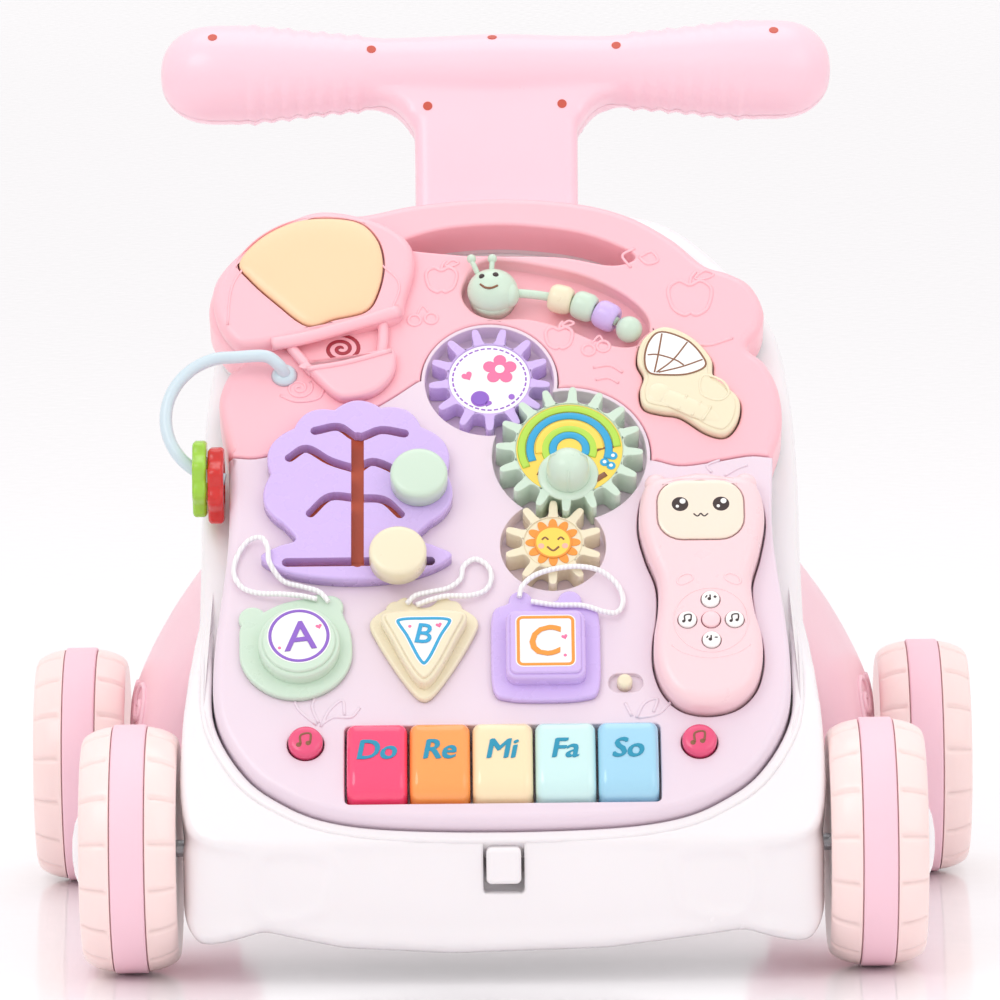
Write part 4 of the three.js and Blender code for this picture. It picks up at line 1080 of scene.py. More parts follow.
surface, flags = plastic_sheet([(loop(BALLOON, 6), 4.5, 7.4, False), hole(grown(pad_outline, 0.5), 0.5,
    5.2)], 7.0)
upper.add(surface, 0, flags)
for line in ([[-118, 306], [-127, 290], [-129, 268]], [[-56, 302], [-47, 290], [-52, 272]]):
    ridge(upper, line, 0.6, height=7.0)


def apple(at, size):
    """A heart-topped fruit, its stalk and a leaf."""
    shape = np.array([[0, 0.72], [0.5, 0.95], [0.98, 0.5], [0.8, -0.5], [0.3, -0.92], [0, -0.8], [-0.3,
        -0.92],
                      [-0.8, -0.5], [-0.98, 0.5], [-0.5, 0.95]]) * size + at
    ridge(upper, shape, 0.9, closed=True)
    ridge(upper, np.array([[0, 0.7], [0.08, 1.15], [0.3, 1.45]]) * size + at, 0.8)
    ridge(upper, np.array([[0.25, 1.1], [0.7, 1.5], [1.1, 1.3], [0.7, 1.05]]) * size + at, 0.7, closed=True)


apple(np.array([-27, 297]), 7.5)
apple(np.array([29, 263]), 6.5)
apple(np.array([92, 285]), 10.5)
for u, v in ((-40, 274), (-32, 275), (43, 256), (50, 258)):
    ridge(upper, circle((u, v), 3.0, 10), 0.8, closed=True)
ridge(upper, [[-39, 277], [-36, 282], [-33, 278]], 0.6)
ridge(upper, [[44, 259], [48, 264], [50, 261]], 0.6)
ridge(upper, [[68, 309], [72, 305], [77, 307], [74, 312], [68, 309]], 0.8)
ridge(upper, [[64, 303], [60, 310], [66, 314]], 0.7)
for points in ([[46, 239], [52, 240], [57, 237]], [[45, 246], [53, 247], [59, 243]],
               [[88, 262], [99, 258], [112, 262]]):
    ridge(upper, points, 0.8)
rail = smooth_line([[-108, 257.6], [-92, 261], [-70, 268], [-47, 276]], 8)
upper.add(tube(raised(rail, 5.4), 3.4, 14, 0.8))
for ends in ([[-99, 258], [-94, 251], [-88, 243]], [[-55, 271], [-55, 262], [-56, 252]]):
    upper.add(tube(raised(smooth_line(ends, 6), 2.2), 2.6, 12))
basket = loop([[-93, 246], [-88, 240], [-78, 229], [-70, 227], [-58, 231], [-50, 241], [-49, 252], [-53, 255],
               [-72, 251], [-90, 246]], 6)
add_slab(upper, basket, -1, 6, 2.6)
ridge(upper, [[-91, 243], [-72, 246.5], [-51, 253]], 1.4, height=6)
spiral_turn = np.linspace(0.6, 4.6 * np.pi, 60)
spiral = np.stack([-75 + 0.66 * spiral_turn * np.cos(spiral_turn),
                   258 + 0.55 * spiral_turn * np.sin(spiral_turn)], 1)
snail_turn = np.linspace(0.6, 4.2 * np.pi, 50)
snail = np.stack([-95 + 0.5 * snail_turn * np.cos(snail_turn), 236 + 0.45 * snail_turn * np.sin(snail_turn)],
                 1)
upper.add(tube(raised(snail, 0), 0.7, 8, 0.8))
ridge(upper, [[-104, 232], [-96, 228.5], [-86, 230], [-83, 236], [-81, 242]], 0.8)
# The spiral is a thin flat tube just above the face in the dark red: painted shade standing in for a cut
# groove.
upper.add(tube(raised(spiral, 0.05), 0.95, 8, 0.3), 1)
piece("upper_panel_skin", upper, on_panel, [SALMON, SPIRAL_CUT_SHADE], "panel", ["upper_panel"])

pad = Moulding().add(pillow(grown(pad_outline, -0.4), 4.2, 6.6, 9.8, 0.45, 12))
piece("balloon_pad", pad, on_panel, [PAD], "balloon_button", ["balloon_button"])
print("upper panel", upper.count, "points")
# %% [markdown]
# ## Gears
# Three gears of one module turn together: 16, 13 and 10 teeth. The teeth are drawn as straight-sided teeth at
# the same phase as the frame, then softened by the spline, so that they still mesh.

# %% Gears
def toothed(teeth, at, towards):
    """Each tooth has a root pair at 0.26 and a tip pair at 0.1 of a pitch, joined by a spline."""
    tip, root = gear_tip(teeth), GEAR_MODULE * (teeth / 2 - 1.15)
    share = np.array([[-0.27, root], [-0.17, root * 0.45 + tip * 0.55], [-0.09, tip - 0.25], [0.09,
        tip - 0.25],
                      [0.17, root * 0.45 + tip * 0.55], [0.27, root]])
    turn = towards + (np.arange(teeth)[:, None] + share[None, :, 0]) * 2 * np.pi / teeth
    r = np.broadcast_to(share[None, :, 1], turn.shape)
    line = np.stack([at[0] + r * np.cos(turn), at[1] + r * np.sin(turn)], -1).reshape(-1, 2)
    return smooth_line(line, 3, True)


def facing(one, two):
    a, b = GEARS[one][1], GEARS[two][1]
    return math.atan2(b[1] - a[1], b[0] - a[0])


MINT_ANGLE = facing("mint", "lilac")
SUN_LINE = facing("mint", "sun")
SUN_OFFSET = math.fmod(SUN_LINE - MINT_ANGLE, 2 * np.pi / 16) * 1.6
TOWARDS = {"mint": MINT_ANGLE, "lilac": MINT_ANGLE + np.pi + np.pi / 13,
           "sun": SUN_LINE + np.pi + np.pi / 10 + SUN_OFFSET}


def patch(moulding, outline, low, slot, thick=0.25):
    return add_slab(moulding, np.asarray(outline, float), low - 0.3, low + thick, 0.1, 0, slot, 1)


def stroke(moulding, points, low, slot, width=0.8, closed=False):
    """A printed line: a very flat tube just above the face."""
    line = smooth_line(points, 5, closed)
    return moulding.add(tube(raised(line, low), width, 8, 0.25, closed=closed), slot)


def petals(at, radius, count, depth, turn=0.0):
    """A flower's outline: r = radius (1 - depth + depth |cos(count t / 2)|^0.7)."""
    t = np.linspace(0, 2 * np.pi, count * 10, endpoint=False)
    r = radius * (1 - depth + depth * np.abs(np.cos(count * t / 2)) ** 0.7)
    return np.stack([at[0] + r * np.cos(t + turn), at[1] + r * np.sin(t + turn)], 1)


def heart(at, size, tilt=0.0):
    """x = 16 sin^3 t, y = 13 cos t - 5 cos 2t - 2 cos 3t - cos 4t."""
    t = np.linspace(0, 2 * np.pi, 28, endpoint=False)[::-1]
    x = 16 * np.sin(t) ** 3
    y = 13 * np.cos(t) - 5 * np.cos(2 * t) - 2 * np.cos(3 * t) - np.cos(4 * t)
    c, s = math.cos(tilt), math.sin(tilt)
    return np.stack([at[0] + (x * c - y * s) * size / 16, at[1] + (x * s + y * c) * size / 16], 1)


LABEL_RADIUS = {name: GEAR_MODULE * (teeth / 2 - 1.15) - 1.6 for name, (teeth, _, _) in GEARS.items()}
gears = {}
for name, (teeth, at, top) in GEARS.items():
    gear = Moulding()
    rim = LABEL_RADIUS[name] + 0.4
    surface, flags = plastic_sheet([
        (toothed(teeth, at, TOWARDS[name]), 0.45, top + 9.1, False),
        hole(circle(at, rim, 72), 0.25, 0.8)], top)
    gear.add(surface, 0, flags)
    gears[name] = gear

at = np.array(GEARS["lilac"][1])
gear = gears["lilac"]
patch(gear, circle(at, LABEL_RADIUS["lilac"], 64), 1.2, 1)
for t in np.arange(0, 2 * np.pi, np.pi / 18):
    way = np.array([math.cos(t), math.sin(t)])
    tangent = np.array([-way[1], way[0]])
    stroke(gear, [at + way * 17.4 - tangent, at + way * 17.4 + tangent], 1.55, 2, 0.4)
patch(gear, petals(at + [5, 5.5], 8.2, 5, 0.42, 0.3), 1.6, 3)
patch(gear, circle(at + [5, 5.5], 2.3, 20), 1.95, 1)
patch(gear, heart(at + [-10.5, 2], 2.6, 0.5), 1.6, 3)
patch(gear, heart(at + [-1, -13.5], 2.0, -0.3), 1.6, 2)
patch(gear, circle(at + [10.5, -10], 1.5, 16), 1.6, 2)
patch(gear, circle(at + [-4.5, -11], 4.4, 28), 1.6, 2)
patch(gear, circle(at + [-4.5, -11], 3.7, 28), 1.9, 4)
piece("lilac_gear_skin", gear, on_panel, [LILAC, INKS["white"], INKS["violet"], INKS["pink"], INKS["purple"]],
      "lilac_gear", ["lilac_gear"])

at = np.array(GEARS["mint"][1])
gear = gears["mint"]
patch(gear, circle(at, LABEL_RADIUS["mint"], 72), 5.2, 1)
for radius, slot, sweep in ((22.6, 2, (0.05, 3.6)), (18.6, 3, (-0.3, 3.5)), (14.4, 1, (0, 3.3)), (11.4, 2,
    (-0.4, 3.6)),
                            (7.8, 3, (-0.4, 4.2))):
    stroke(gear, arc(at, radius, *sweep, 0.2), 5.6, slot, 1.9)
stroke(gear, [at + [-15, -13], at + [-4, -18.5], at + [8, -19.5], at + [17, -14]], 5.6, 4, 1.4)
for shift in ([16.5, -7.5], [20.5, -4.0], [19.5, -9.5]):
    patch(gear, circle(at + shift, 2.2, 18), 5.5, 3)
    patch(gear, circle(at + shift, 0.9, 12), 5.8, 5)
stroke(gear, [at + [10, -3], at + [15, 0], at + [21, 1]], 5.6, 4, 0.6)
knob_at = at + [-0.8, -14.5]
gear.add(turned([(0, 5), (14, 5), (14.4, 5.6), (13.6, 6.3), (10.6, 6.4), (0, 6.4)], 56, knob_at))
piece("mint_gear_skin", gear, on_panel, [MINT, INKS["yellow"], INKS["lime"], INKS["blue"], INKS["brown"],
                                         INKS["white"]], "mint_gear", ["mint_gear"])
knob = Moulding()
dome = smooth_line([(10.3, 6.3), (10.3, 9), (9.9, 12.5), (8.7, 16), (6.3, 19), (3.2, 20.6), (0, 20.9)], 5)
knob.add(turned(np.vstack([[(0, 6.3)], dome]).clip(0), 56, knob_at))
for t in (0.5, 2.6, 4.7):
    rib = [[knob_at[0] + r * math.cos(t), knob_at[1] + r * math.sin(t), h] for r, h in
           ((10.2, 8), (9.8, 12.4), (8.6, 15.9), (6.2, 18.9))]
    knob.add(tube(smooth_line(rib, 4), 0.7, 8))
piece("gear_knob_skin", knob, on_panel, [MINT], "mint_gear", ["gear_knob"])

at = np.array(GEARS["sun"][1])
gear = gears["sun"]
patch(gear, circle(at, LABEL_RADIUS["sun"], 64), 2.2, 0)
patch(gear, petals(at, 13.0, 12, 0.4), 2.6, 1)
patch(gear, circle(at, 8.4, 48), 2.9, 2)
stroke(gear, circle(at, 8.4, 24), 3.15, 1, 0.5, True)
for side in (-1, 1):
    stroke(gear, [at + [side * 5.2, 1.2], at + [side * 3.7, 2.5], at + [side * 2.2, 1.2]], 3.2, 3, 0.45)
    patch(gear, circle(at + [side * 5.6, -2.2], 1.5, 18), 3.15, 4, 0.1)
stroke(gear, [at + [-2.8, -2.6], at + [0, -4.8], at + [2.8, -2.6]], 3.2, 3, 0.5)
piece("sun_gear_skin", gear, on_panel, [CREAM, INKS["orange"], INKS["yellow"], INKS["brown"], INKS["blush"]],
      "sun_gear", ["sun_gear"])
print("three gears")

# %% [markdown]
# ## Tree maze
# The tree is a lilac plate with its trunk and branches cut through, and two round knobs that ride in them.
# The plate is drawn with a rounded outer rim, and the slots are cut as one union of rounded strips.

# %% Tree
TREE_JOINTS = np.array([[-33, 156], [-25, 183], [-37, 209], [-56, 220], [-78, 219], [-97, 209], [-108, 183],
                        [-102, 156]], float)
TREE_FOOT = [[-96, 147], [-105, 143], [-112, 137], [-96, 128], [-68, 124.5], [-40, 128], [-23, 137],
             [-31, 143],
             [-40, 147]]
TREE_SLOTS = [([[-67, 134], [-67, 203]], 6), ([[-87, 207], [-76, 209], [-67, 203], [-56, 207], [-45, 205]],
                                              4.6),
              ([[-99, 192], [-91, 197], [-80, 190], [-67, 185]], 4.6), ([[-67, 185], [-58, 189], [-38, 177]],
                  4.6),
              ([[-89, 161], [-80, 170], [-67, 169]], 4.6), ([[-67, 169], [-55, 168], [-47, 160]], 4.6),
              ([[-100, 134], [-33, 134]], 4.8)]


def lobes(joints):
    """Each lobe is (1-t)^2 a + 2t(1-t) peak + t^2 b, with its peak out to the right of the way."""
    a, b = joints[:-1], joints[1:]
    way = b - a
    peak = (a + b) / 2 + np.stack([way[:, 1], -way[:, 0]], 1) * 0.45
    t = (np.arange(12) / 12)[None, :, None]
    line = (1 - t) ** 2 * a[:, None] + 2 * t * (1 - t) * peak[:, None] + t**2 * b[:, None]
    return np.vstack([line.reshape(-1, 2), joints[-1:]])


foot = smooth_line(np.vstack([TREE_JOINTS[-1:], TREE_FOOT, TREE_JOINTS[:1]]), 6)[1:-1]
crown = np.vstack([lobes(TREE_JOINTS), foot])
tree_plate = Moulding()
add_slab(tree_plate, crown, 0.3, 7.5, 1.3, 0, 0, 4)
grooves = Moulding()
for index, (points, width) in enumerate(TREE_SLOTS):
    line = smooth_line(points, 6) if len(points) > 2 else np.array(points, float)
    way = np.gradient(line, axis=0)
    way /= np.linalg.norm(way, axis=1, keepdims=True)
    left = np.stack([-way[:, 1], way[:, 0]], 1) * width / 2
    t = np.linspace(-np.pi / 2, np.pi / 2, 11)[1:-1]
    end = line[-1] + width / 2 * (np.outer(np.cos(t), way[-1]) + np.outer(np.sin(t), left[-1] * 2 / width))
    start = line[0] - width / 2 * (np.outer(np.cos(t), way[0]) + np.outer(np.sin(t), left[0] * 2 / width))
    outline = np.vstack([line - left, end, (line + left)[::-1], start])
    # Each strip is a hair taller than the last, so that no two share a face where they cross.
    grooves.add(slab(outline, -3 - 0.07 * index, 11 + 0.07 * index, 0, 0, 1)[0], 0, False)
tree_mesh = cut(tree_plate.mesh("tree", on_panel, [LILAC]), grooves, on_panel)
piece("tree_plate_skin", tree_mesh, None, None, "panel", ["tree_plate"])
backing = Moulding().add((raised(crown + inward(crown) * 2.2, 0.12), [list(range(len(crown)))]), 0, False)
piece("tree_backing", backing, on_panel, [BACKING], "panel")
for name, at, finish in (("mint", (-38, 177), MINT), ("cream", (-48, 134), CREAM)):
    cap = Moulding()
    line = [(0, 0.8), (1.9, 0.8), (1.9, 7.9), (12.6, 7.9), (13.5, 8.6), (13.5, 16.2), (13.1, 17.4), (12.2,
        18.1),
            (10.6, 18.4), (0, 18.5)]
    cap.add(turned(line, 64, at))
    piece(f"{name}_tree_knob_skin", cap, on_panel, [finish], f"{name}_tree_knob",
          [f"{name}_tree_knob"])
print("tree", len(tree_mesh.polygons), "faces")

# %% [markdown]
# ## Bead worm
# A smiling worm lies in a pocket: its head and tail are fixed, and three beads slide on the bent rod between.

# %% Bead worm
def on_arc(degrees):
    t = np.radians(np.asarray(degrees, float))
    return np.stack([4 + 90 * np.sin(t), 199 + 90 * np.cos(t), np.zeros_like(t)], -1)


def bead_surface(degrees):
    """(r, h) turned about the rod's own direction at that place on its arc."""
    profile = smooth_line([(2.7, -4.6), (5, -5.6), (6.7, -3.4), (7, 0), (6.7, 3.4), (5, 5.6), (2.7, 4.6),
                           (2.7, 0), (2.7, -4.6)], 5)
    turn = math.radians(degrees)
    along, out = np.array([math.cos(turn), -math.sin(turn), 0]), np.array([math.sin(turn), math.cos(turn), 0])
    t = np.linspace(0, 2 * np.pi, 40, endpoint=False)
    ring = out[None] * np.cos(t)[:, None] + np.array([0, 0, 1.0])[None] * np.sin(t)[:, None]
    grid = on_arc(degrees) + profile[:, None, 1:] * along + profile[:, None, :1] * ring[None]
    return grid.reshape(-1, 3), quads(len(profile), 40)


worm = Moulding()
worm.add(tube(on_arc(np.linspace(1, 36, 40)), 2.2, 16))
worm.add(ball((-2.5, 290, 0.5), (12.2, 11.4, 9.2), 28, 40))
worm.add(turned([(0, -8.2), (11, -8.2), (11.6, 0), (0, 0)], 40, (-2.5, 290)))
worm.add(ball((5.4, 287.5, 1), (5.0, 6.5, 6), 16, 24))
for u, lean in ((-9.5, -3), (-3, 0.5)):
    worm.add(tube(smooth_line([[u, 298, 3], [u + lean / 2, 301.5, 4.4], [u + lean, 304.5, 5]], 4), 1.3, 10))
    worm.add(ball((u + lean, 305.5, 5.2), (2.3, 2.3, 2.3), 12, 16))
worm.add(ball((-7.5, 293.2, 8.2), (1.5, 1.5, 1.2), 10, 16), 1)
worm.add(ball((-1.0, 293.6, 8.9), (1.5, 1.5, 1.2), 10, 16), 1)
smile = [[-8.4, 288.6, 8.6], [-6, 286.4, 9.1], [-3, 286, 9.3], [0, 287.4, 9.2]]
worm.add(tube(smooth_line(smile, 5), 0.55, 8), 2)
piece("worm_head_skin", worm, on_panel, [MINT, INKS["black"], INKS["brown"]], "panel",
      ["worm_head"])
tail = Moulding().add(ball(on_arc(40.5), (6.4, 6.4, 6.4), 20, 32))
piece("worm_tail_skin", tail, on_panel, [MINT], "panel", ["worm_tail"])
for name, degrees, finish in (("cream", 16.9, CREAM), ("mint", 24.5, MINT), ("lilac", 32.1, LILAC)):
    bead = Moulding().add(bead_surface(degrees))
    piece(f"{name}_bead_skin", bead, on_panel, [finish], f"{name}_bead", [f"{name}_bead"])

# %% [markdown]
# ## Hoop and rings
# A pale plastic hoop springs from the panel's edge, with two clear cogged rings threaded on it.

# %% Hoop
HOOP_CENTRE, HOOP_TILT = np.array([-127.0, 218.0, 2.0]), math.radians(13)


def on_hoop(degrees):
    t = np.radians(np.asarray(degrees, float))
    rise = 31 * np.sin(t)
    return np.stack([-127 + 31 * np.cos(t), 218 + rise * math.cos(HOOP_TILT),
                     2 + rise * math.sin(HOOP_TILT)], -1)


entry = [[-102, 243, 1.2], [-102.3, 243.1, 3.6], [-105, 245, 7.5], [-111, 247.8, 10]]
hoop_line = smooth_line(np.vstack([entry, on_hoop([85, 105, 125, 145, 165, 185, 205, 225, 245, 264.6])]), 8)
hoop = Moulding().add(tube(hoop_line, 3, 20))
hoop.add(turned([(0, 0.3), (6.2, 0.3), (5.6, 1.6), (4.4, 3.2), (0, 3.2)], 32, (-102, 243)))
piece("bead_hoop_skin", hoop, on_panel, [HOOP], "panel", ["bead_hoop"])


def ring_surface(x, drop, thick, bumps):
    """R(t) = 17.8 + 1.2 cos(bumps t) outside, 9.5 inside; the section is a rounded slab."""
    t = np.linspace(0, 2 * np.pi, bumps * 12, endpoint=False)
    outer = 17.8 + 1.2 * np.cos(bumps * t)
    edge = np.array([[0, -0.3], [0, 0.3], [0.06, 0.43], [0.16, 0.5], [0.84, 0.5], [0.94, 0.43], [1, 0.3],
                     [1, -0.3],
                     [0.94, -0.43], [0.84, -0.5], [0.16, -0.5], [0.06, -0.43], [0, -0.3]])
    r = 9.5 + edge[:, :1] * (outer[None] - 9.5)
    a, b = r * np.cos(t), r * np.sin(t)
    c = np.broadcast_to(edge[:, 1:] * thick, a.shape)
    y, z = b + drop, -a
    grid = np.stack([c + x, y * math.cos(HOOP_TILT) - z * math.sin(HOOP_TILT),
                     y * math.sin(HOOP_TILT) + z * math.cos(HOOP_TILT)], -1) + HOOP_CENTRE
    return grid.reshape(-1, 3), quads(len(edge), len(t))


RING_CLEARNESS = 0.35
for name, x, drop, thick, finish in (("lime", -14.6, -30.2, 6.6, LIME), ("red", -6.9, -33.6, 7.4, RED)):
    finish.node_tree.nodes["Principled BSDF"].inputs["Transmission Weight"].default_value = RING_CLEARNESS
    ring = Moulding().add(ring_surface(x, drop, thick, 8))
    piece(f"{name}_ring_skin", ring, on_panel, [finish], f"{name}_ring", [f"{name}_ring"])
print("hoop and rings")

# %% [markdown]
# ## Puzzle pieces
# Each piece is a flange with two ears and a block on it, with a white label and a letter. The letters and the
# note names are plain type, turned to mesh and laid on the face.

# %% Letters
def letters(text, size, bold=0.0, shear=0.0):
    """Type as flat faces in the drawing plane, centred on (0, 0)."""
    curve = bpy.data.curves.new("type", "FONT")
    curve.body, curve.size, curve.offset, curve.shear = text, size, bold, shear
    curve.align_x = curve.align_y = "CENTER"
    curve.resolution_u = 3
    mesh = worked_out(placed("type", curve))
    points = mesh_points(mesh)
    middle = (points.max(0) + points.min(0)) / 2
    return (points - middle)[:, :2], [list(p.vertices) for p in mesh.polygons]


def lettering(moulding, text, size, at, height, slot, bold=0.0, shear=0.0, turn=0.0):
    """Type with its face raised and a second copy below, so that it has thickness."""
    flat, faces = letters(text, size, bold, shear)
    c, s = math.cos(turn), math.sin(turn)
    u, v = flat[:, 0] * c - flat[:, 1] * s, flat[:, 0] * s + flat[:, 1] * c
    top = raised(np.stack([u + at[0], v + at[1]], 1), height)
    moulding.add((top, faces), slot, False)
    return moulding.add((top - [0, 0, 0.25], [f[::-1] for f in faces]), slot, False)


# %% Puzzle pieces
# A label is (finish, its slot, outline, ink, letter, and the letter's size, place and turn).
LABELS = {
    "circle": (MINT, "mint_plastic", circle((-94, 91), 14.8, 56), INKS["purple"], "A", 22, (-94, 91), 0.12),
    "triangle": (CREAM, "cream_plastic", loop([[-49, 99.5], [-36, 101], [-23, 99.5], [-27, 90], [-36, 74],
                                               [-45, 90]], 8), INKS["blue"], "B", 15, (-36, 91.5), -0.12),
    "square": (LILAC, "lilac_plastic", rounded_box((6.5, 73), (34.5, 101), 3.5), INKS["orange"], "C", 23,
               (20.5, 87), 0.05)}
EARS = {"circle": [(-116, 106, 6.5), (-80, 112, 6.5)], "triangle": [(-49, 110, 5), (-23, 110, 5)],
        "square": [(9, 114, 5.6), (32, 114, 5.6)]}
CHARMS = {"circle": ([9.2, 5], [-9, -6.5]), "triangle": ([7, 4.5], [-6.5, 4]), "square": ([8.8, 2], [9, -8])}
for name, (finish, slot_name, label, ink, letter, size, at, turn) in LABELS.items():
    block = Moulding()
    add_slab(block, loop(FLANGES[name], 6), 0.3, 3.6, 1.3)
    for u, v, r in EARS[name]:
        add_slab(block, circle((u, v), r, 32), 0.35, 3.55, 1.3)
    add_slab(block, BLOCKS[name], -5.5, 10.4, 1.6)
    inner = BLOCKS[name] + inward(BLOCKS[name]) * 2.0
    add_slab(block, inner, 8, 12, 1.0)
    patch(block, label, 11.9, 1)
    border = label + inward(label) * 1.3
    block.add(tube(raised(border, 12.2), 0.75, 8, 0.25, closed=True), 2)
    lettering(block, letter, size, at, 12.5, 2, 0.18, 0.1, turn)
    heart_at, dot_at = CHARMS[name]
    patch(block, heart(np.array(at) + heart_at, 1.5, 0.3), 12.05, 3)
    patch(block, circle(np.array(at) + dot_at, 0.8, 14), 12.05, 3)
    piece(f"{name}_piece_skin", block, on_panel, [finish, INKS["white"], ink, INKS["pink"]], f"{name}_piece",
          [f"{name}_piece"])
print("three puzzle pieces")

# %% [markdown]
# ## Telephone
# The telephone is a soft-edged shell with ears, a screen with a friendly bear's face, and five buttons.

# %% Telephone
PHONE_BUTTONS = {"top": (97.5, 108.5), "bottom": (97.5, 86.5), "left": (86.5, 97.5), "right": (108.5, 97.5),
                 "centre": (97.5, 97.5)}
surface, flags = plastic_sheet([
    (phone_outline, 6.5, 19.3, True), hole(rounded_box((73.4, 141.4), (114.6, 174.6), 12), 0.8, 1.6),
    *[hole(circle(at, 4.7, 28), 0.3, 4) for at in PHONE_BUTTONS.values()]], 12.0, 7)
phone = Moulding().add(surface, 0, flags)
for u in (73.5, 115.5):
    phone.add(ball((u, 175.5, 6.2), (5.4, 5.4, 4.4), 16, 24))
for u, turn in ((86, 0.5), (108, -0.5)):
    bean = np.array([[-4, 0.5], [-2, 2.6], [2, 2.6], [4, 0.5], [2.6, -1.6], [-2.6, -1.6]])
    c, s = math.cos(turn), math.sin(turn)
    ridge(phone, np.stack([u + bean[:, 0] * c - bean[:, 1] * s, 119.5 + bean[:, 0] * s + bean[:, 1] * c], 1),
          0.5,
          height=12.0, closed=True)
ridge(phone, [[79, 84], [85, 79.5], [97, 77], [109, 79.5], [115.5, 84]], 0.45, height=11.9)
ridge(phone, arc((97.5, 97.5), 17.4, 0.0, 2 * np.pi - 0.2, 0.3), 0.35, height=12.0, closed=True)
piece("phone_shell_skin", phone, on_panel, [PHONE], "phone", ["phone_shell"])
glass = Moulding()
glass.add(pillow(rounded_box((73.9, 141.9), (114.1, 174.1), 11.5), 11.1, 12.0, 13.0, 0.3, 8))
for side in (-1, 1):
    eye = np.array([94 + side * 9.6, 160.5])
    patch(glass, circle(eye, 4.0, 28), 12.75, 1)
    patch(glass, circle(eye + [1.2, 1.5], 1.4, 16), 13.1, 2)
    patch(glass, circle(eye + [-1.3, -1.3], 0.8, 12), 13.1, 2)
    patch(glass, circle(eye + [side * 4.2, -7.4], 3.0, 24), 12.55, 3)
    brow = eye + [side * 1.5, 7.0]
    stroke(glass, [brow - [2.2, 0], brow + [0, 1.2], brow + [2.2, 0]], 12.75, 1, 0.6)
    stroke(glass, [[94, 155.4], [94 + side * 1.6, 153.8], [94 + side * 3.4, 155.2]], 12.95, 1, 0.45)
piece("phone_screen_skin", glass, on_panel, [SCREEN, INKS["black"], INKS["white"], INKS["blush"]], "phone",
      ["phone_screen"])
for name, at in PHONE_BUTTONS.items():
    button = Moulding()
    rim = 4.2
    line = [(0, 9.8), (rim, 9.8), (rim, 12.7), (rim - 0.3, 13.1), (rim - 0.9, 13.35), (0, 13.4)]
    button.add(turned(line, 36, at))
    mark = np.array(at)
    if name in ("top", "bottom"):
        patch(button, circle(mark + [-0.6, -0.4], 0.9, 14), 13.35, 1, 0.12)
        stroke(button, [mark + [-0.2, -0.4], mark + [-0.2, 1.8]], 13.5, 1, 0.35)
        stroke(button, [mark + [-2.4, 0.2], mark + [-1.6, 1.4]], 13.5, 1, 0.3)
        stroke(button, [mark + [1.4, 0.6], mark + [2.8, 0.6]], 13.5, 1, 0.3)
        if name == "top":
            stroke(button, [mark + [2.1, -0.1], mark + [2.1, 1.3]], 13.5, 1, 0.3)
    elif name != "centre":
        stroke(button, [mark + [-1.2, -1.4], mark + [-1.2, 1.6], mark + [1.6, 2.0], mark + [1.6, -1]], 13.5,
               1, 0.35)
        patch(button, circle(mark + [-1.8, -1.5], 0.8, 12), 13.35, 1, 0.12)
        patch(button, circle(mark + [1.0, -1.1], 0.8, 12), 13.35, 1, 0.12)
    finish = PHONE if name == "centre" else INKS["white"]
    piece(f"phone_button_{name}_skin", button, on_panel, [finish, INKS["black"]], f"phone_button_{name}",
          [f"phone_button_{name}"])
print("telephone")

# %% [markdown]
# ## Music keys and buttons
# Five glossy keys in warm to cool colours carry their note names. Two round buttons, a volume slider, the
# balloon's pad and the butterfly all press or slide in their own wells.

# %% Music keys
KEY_SIDE = [[48.5, -8.5], [48.5, 0.5], [47.4, 3.2], [44.5, 4.4], [38, 4.9], [30, 5.1], [20, 4.9], [14.5, 3.9],
            [10.6, 1.4], [9, -2], [8.5, -6], [9, -8.5]]
key_side = smooth_line(KEY_SIDE, 6, True)
key_side = key_side[::-1] if signed_area(key_side) < 0 else key_side
KEY_PITCH, KEY_WIDTH = 29, 28
for index, note in enumerate(KEYS):
    left = (index - 2.5) * KEY_PITCH + 0.5
    surface, flags = slab(key_side.clip([8.4, -8.5], [48.5, 5.0]), left, left + KEY_WIDTH, 4.2, 4.2, 7)
    key = Moulding().add((surface[0][:, [2, 0, 1]], surface[1]), 0, flags)
    for step in (-0.45, -0.15, 0.15, 0.45):  # four copies a hair apart make bold strokes
        middle = (left + KEY_WIDTH / 2 + step, 33.5 + step / 2)
        lettering(key, note.capitalize(), 14.5, middle, 5.3 + step / 40, 1, 0.0, 0.18)
    piece(f"{note}_key_skin", key, on_panel, [KEYS[note], INKS["teal"]], f"{note}_key",
          [f"{note}_key"])

# %% Buttons, slider and butterfly
for name, at in (("left", (-91, 39.5)), ("right", (91, 38.5))):
    button = Moulding()
    button.add(turned([(0, -3.6), (8, -3.6), (8, 2.6), (7.6, 3.6), (6.6, 4.2), (5.2, 4.5), (0, 4.5)], 48, at))
    mark = np.array(at)
    note_line = [mark + [-2.2, -2.4], mark + [-2.2, 2.4], mark + [2.2, 3.2], mark + [2.2, -1.6]]
    stroke(button, note_line, 4.6, 1, 0.5)
    patch(button, circle(mark + [-3.1, -2.6], 1.3, 16), 4.4, 1, 0.15)
    patch(button, circle(mark + [1.3, -1.8], 1.3, 16), 4.4, 1, 0.15)
    piece(f"{name}_round_button_skin", button, on_panel, [ROSE, INKS["brown"]], f"{name}_round_button",
          [f"{name}_round_button"])
slider = Moulding()
slider.add(turned([(0, -2.2), (3.6, -2.2), (3.6, 1.8), (3.2, 2.6), (2.4, 3), (0, 3)], 36, (57, 71)))
piece("volume_slider_skin", slider, on_panel, [CREAM], "volume_slider", ["volume_slider"])

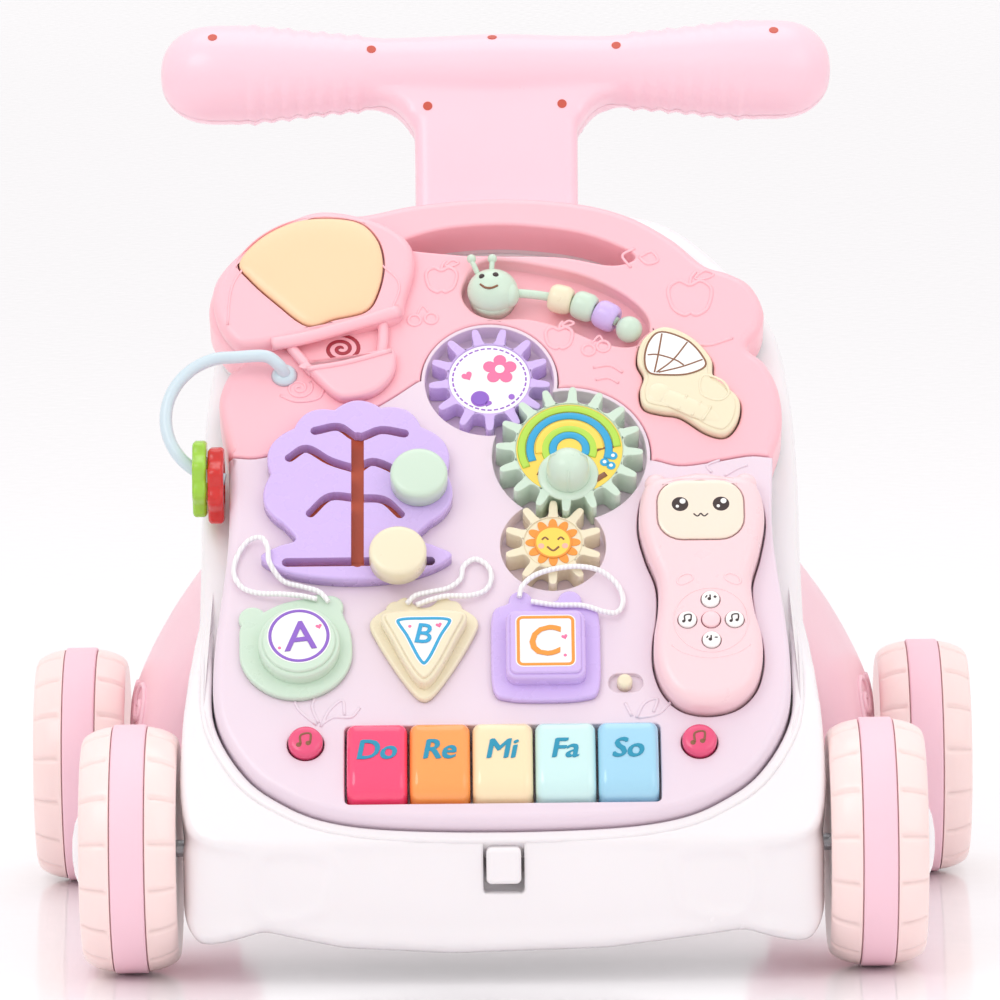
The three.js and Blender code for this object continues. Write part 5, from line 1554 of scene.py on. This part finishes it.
wing = Moulding()
add_slab(wing, butterfly_outline, -3.6, 3.6, 1.6)
inset = butterfly_outline + inward(butterfly_outline) * 2.2
add_slab(wing, inset, 2, 4.3, 0.7)
window = loop([[78, 263], [72, 258], [69.5, 248], [71.5, 240], [80, 238.5], [90, 239], [98, 243], [97, 249],
               [90, 258]], 6)
patch(wing, window, 4.2, 1)
for line in ([[78, 262], [76, 250], [74, 240]], [[90, 257], [83, 247], [75, 240]], [[97, 247], [87, 243],
    [76, 240]],
             [[71, 250], [76, 250], [84, 247], [88, 244]]):
    stroke(wing, line, 4.5, 2, 0.4)
wing.add(tube(raised(window, 4.5), 0.45, 8, 0.25, closed=True), 2)
lower_wing = loop([[97, 238], [106, 235], [109, 228], [104, 224], [96, 228]], 6)
wing.add(tube(raised(lower_wing, 4.35), 0.6, 8, 0.4, closed=True), 0)
wing.add(ball((76, 228.5, 3.4), (6.6, 6.4, 1.6), 14, 28))
body = smooth_line([[78, 227, 3.8], [88, 222, 4.0], [98, 216.5, 3.9], [106, 212, 3.6]], 8)
wing.add(tube(body, np.interp(np.linspace(0, 1, len(body)), [0, 0.5, 1], [4.6, 5.0, 2.6]), 16, 0.22))
for share in (0.3, 0.5, 0.7):
    spot = body[int(share * (len(body) - 1))]
    stroke(wing, [spot[:2] + [-2, -4], spot[:2] + [0.6, 0], spot[:2] + [2.4, 4]], 4.85, 0, 0.5)
piece("butterfly_skin", wing, on_panel, [CREAM, INKS["white"], INKS["brown"]], "butterfly_button",
      ["butterfly_button"])
print(len(made), "pieces made")

# %% [markdown]
# ## Hidden plates
# The cover, its battery door, the axle, the circuit board and the speaker are plain plates and rods, so the
# CAD solids serve as they are, with their edges eased.

# %% CAD solids that stay
STEEL = plastic("steel_axle", "#b8bcc0", 0.25, grain=0.2, coat=0.0, soft=0.0)
STEEL.node_tree.nodes["Principled BSDF"].inputs["Metallic"].default_value = 1.0
BOARD = plastic("circuit_green", "#3c8c50", 0.4, soft=0.0)
CONE = plastic("speaker_paper", "#303030", 0.7, coat=0.0, soft=0.0)
KEPT = {"panel_back": WHITE, "battery_door": WHITE, "front_axle": STEEL, "circuit_board": BOARD,
        "speaker": CONE}
for name, material in KEPT.items():
    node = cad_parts[name]
    node.data.materials.clear()
    node.data.materials.append(material)
    node.modifiers.new("weld", "WELD").merge_threshold = 1e-6
    ease = node.modifiers.new("ease", "BEVEL")
    ease.width, ease.segments, ease.limit_method, ease.angle_limit = 0.0005, 2, "ANGLE", 0.7
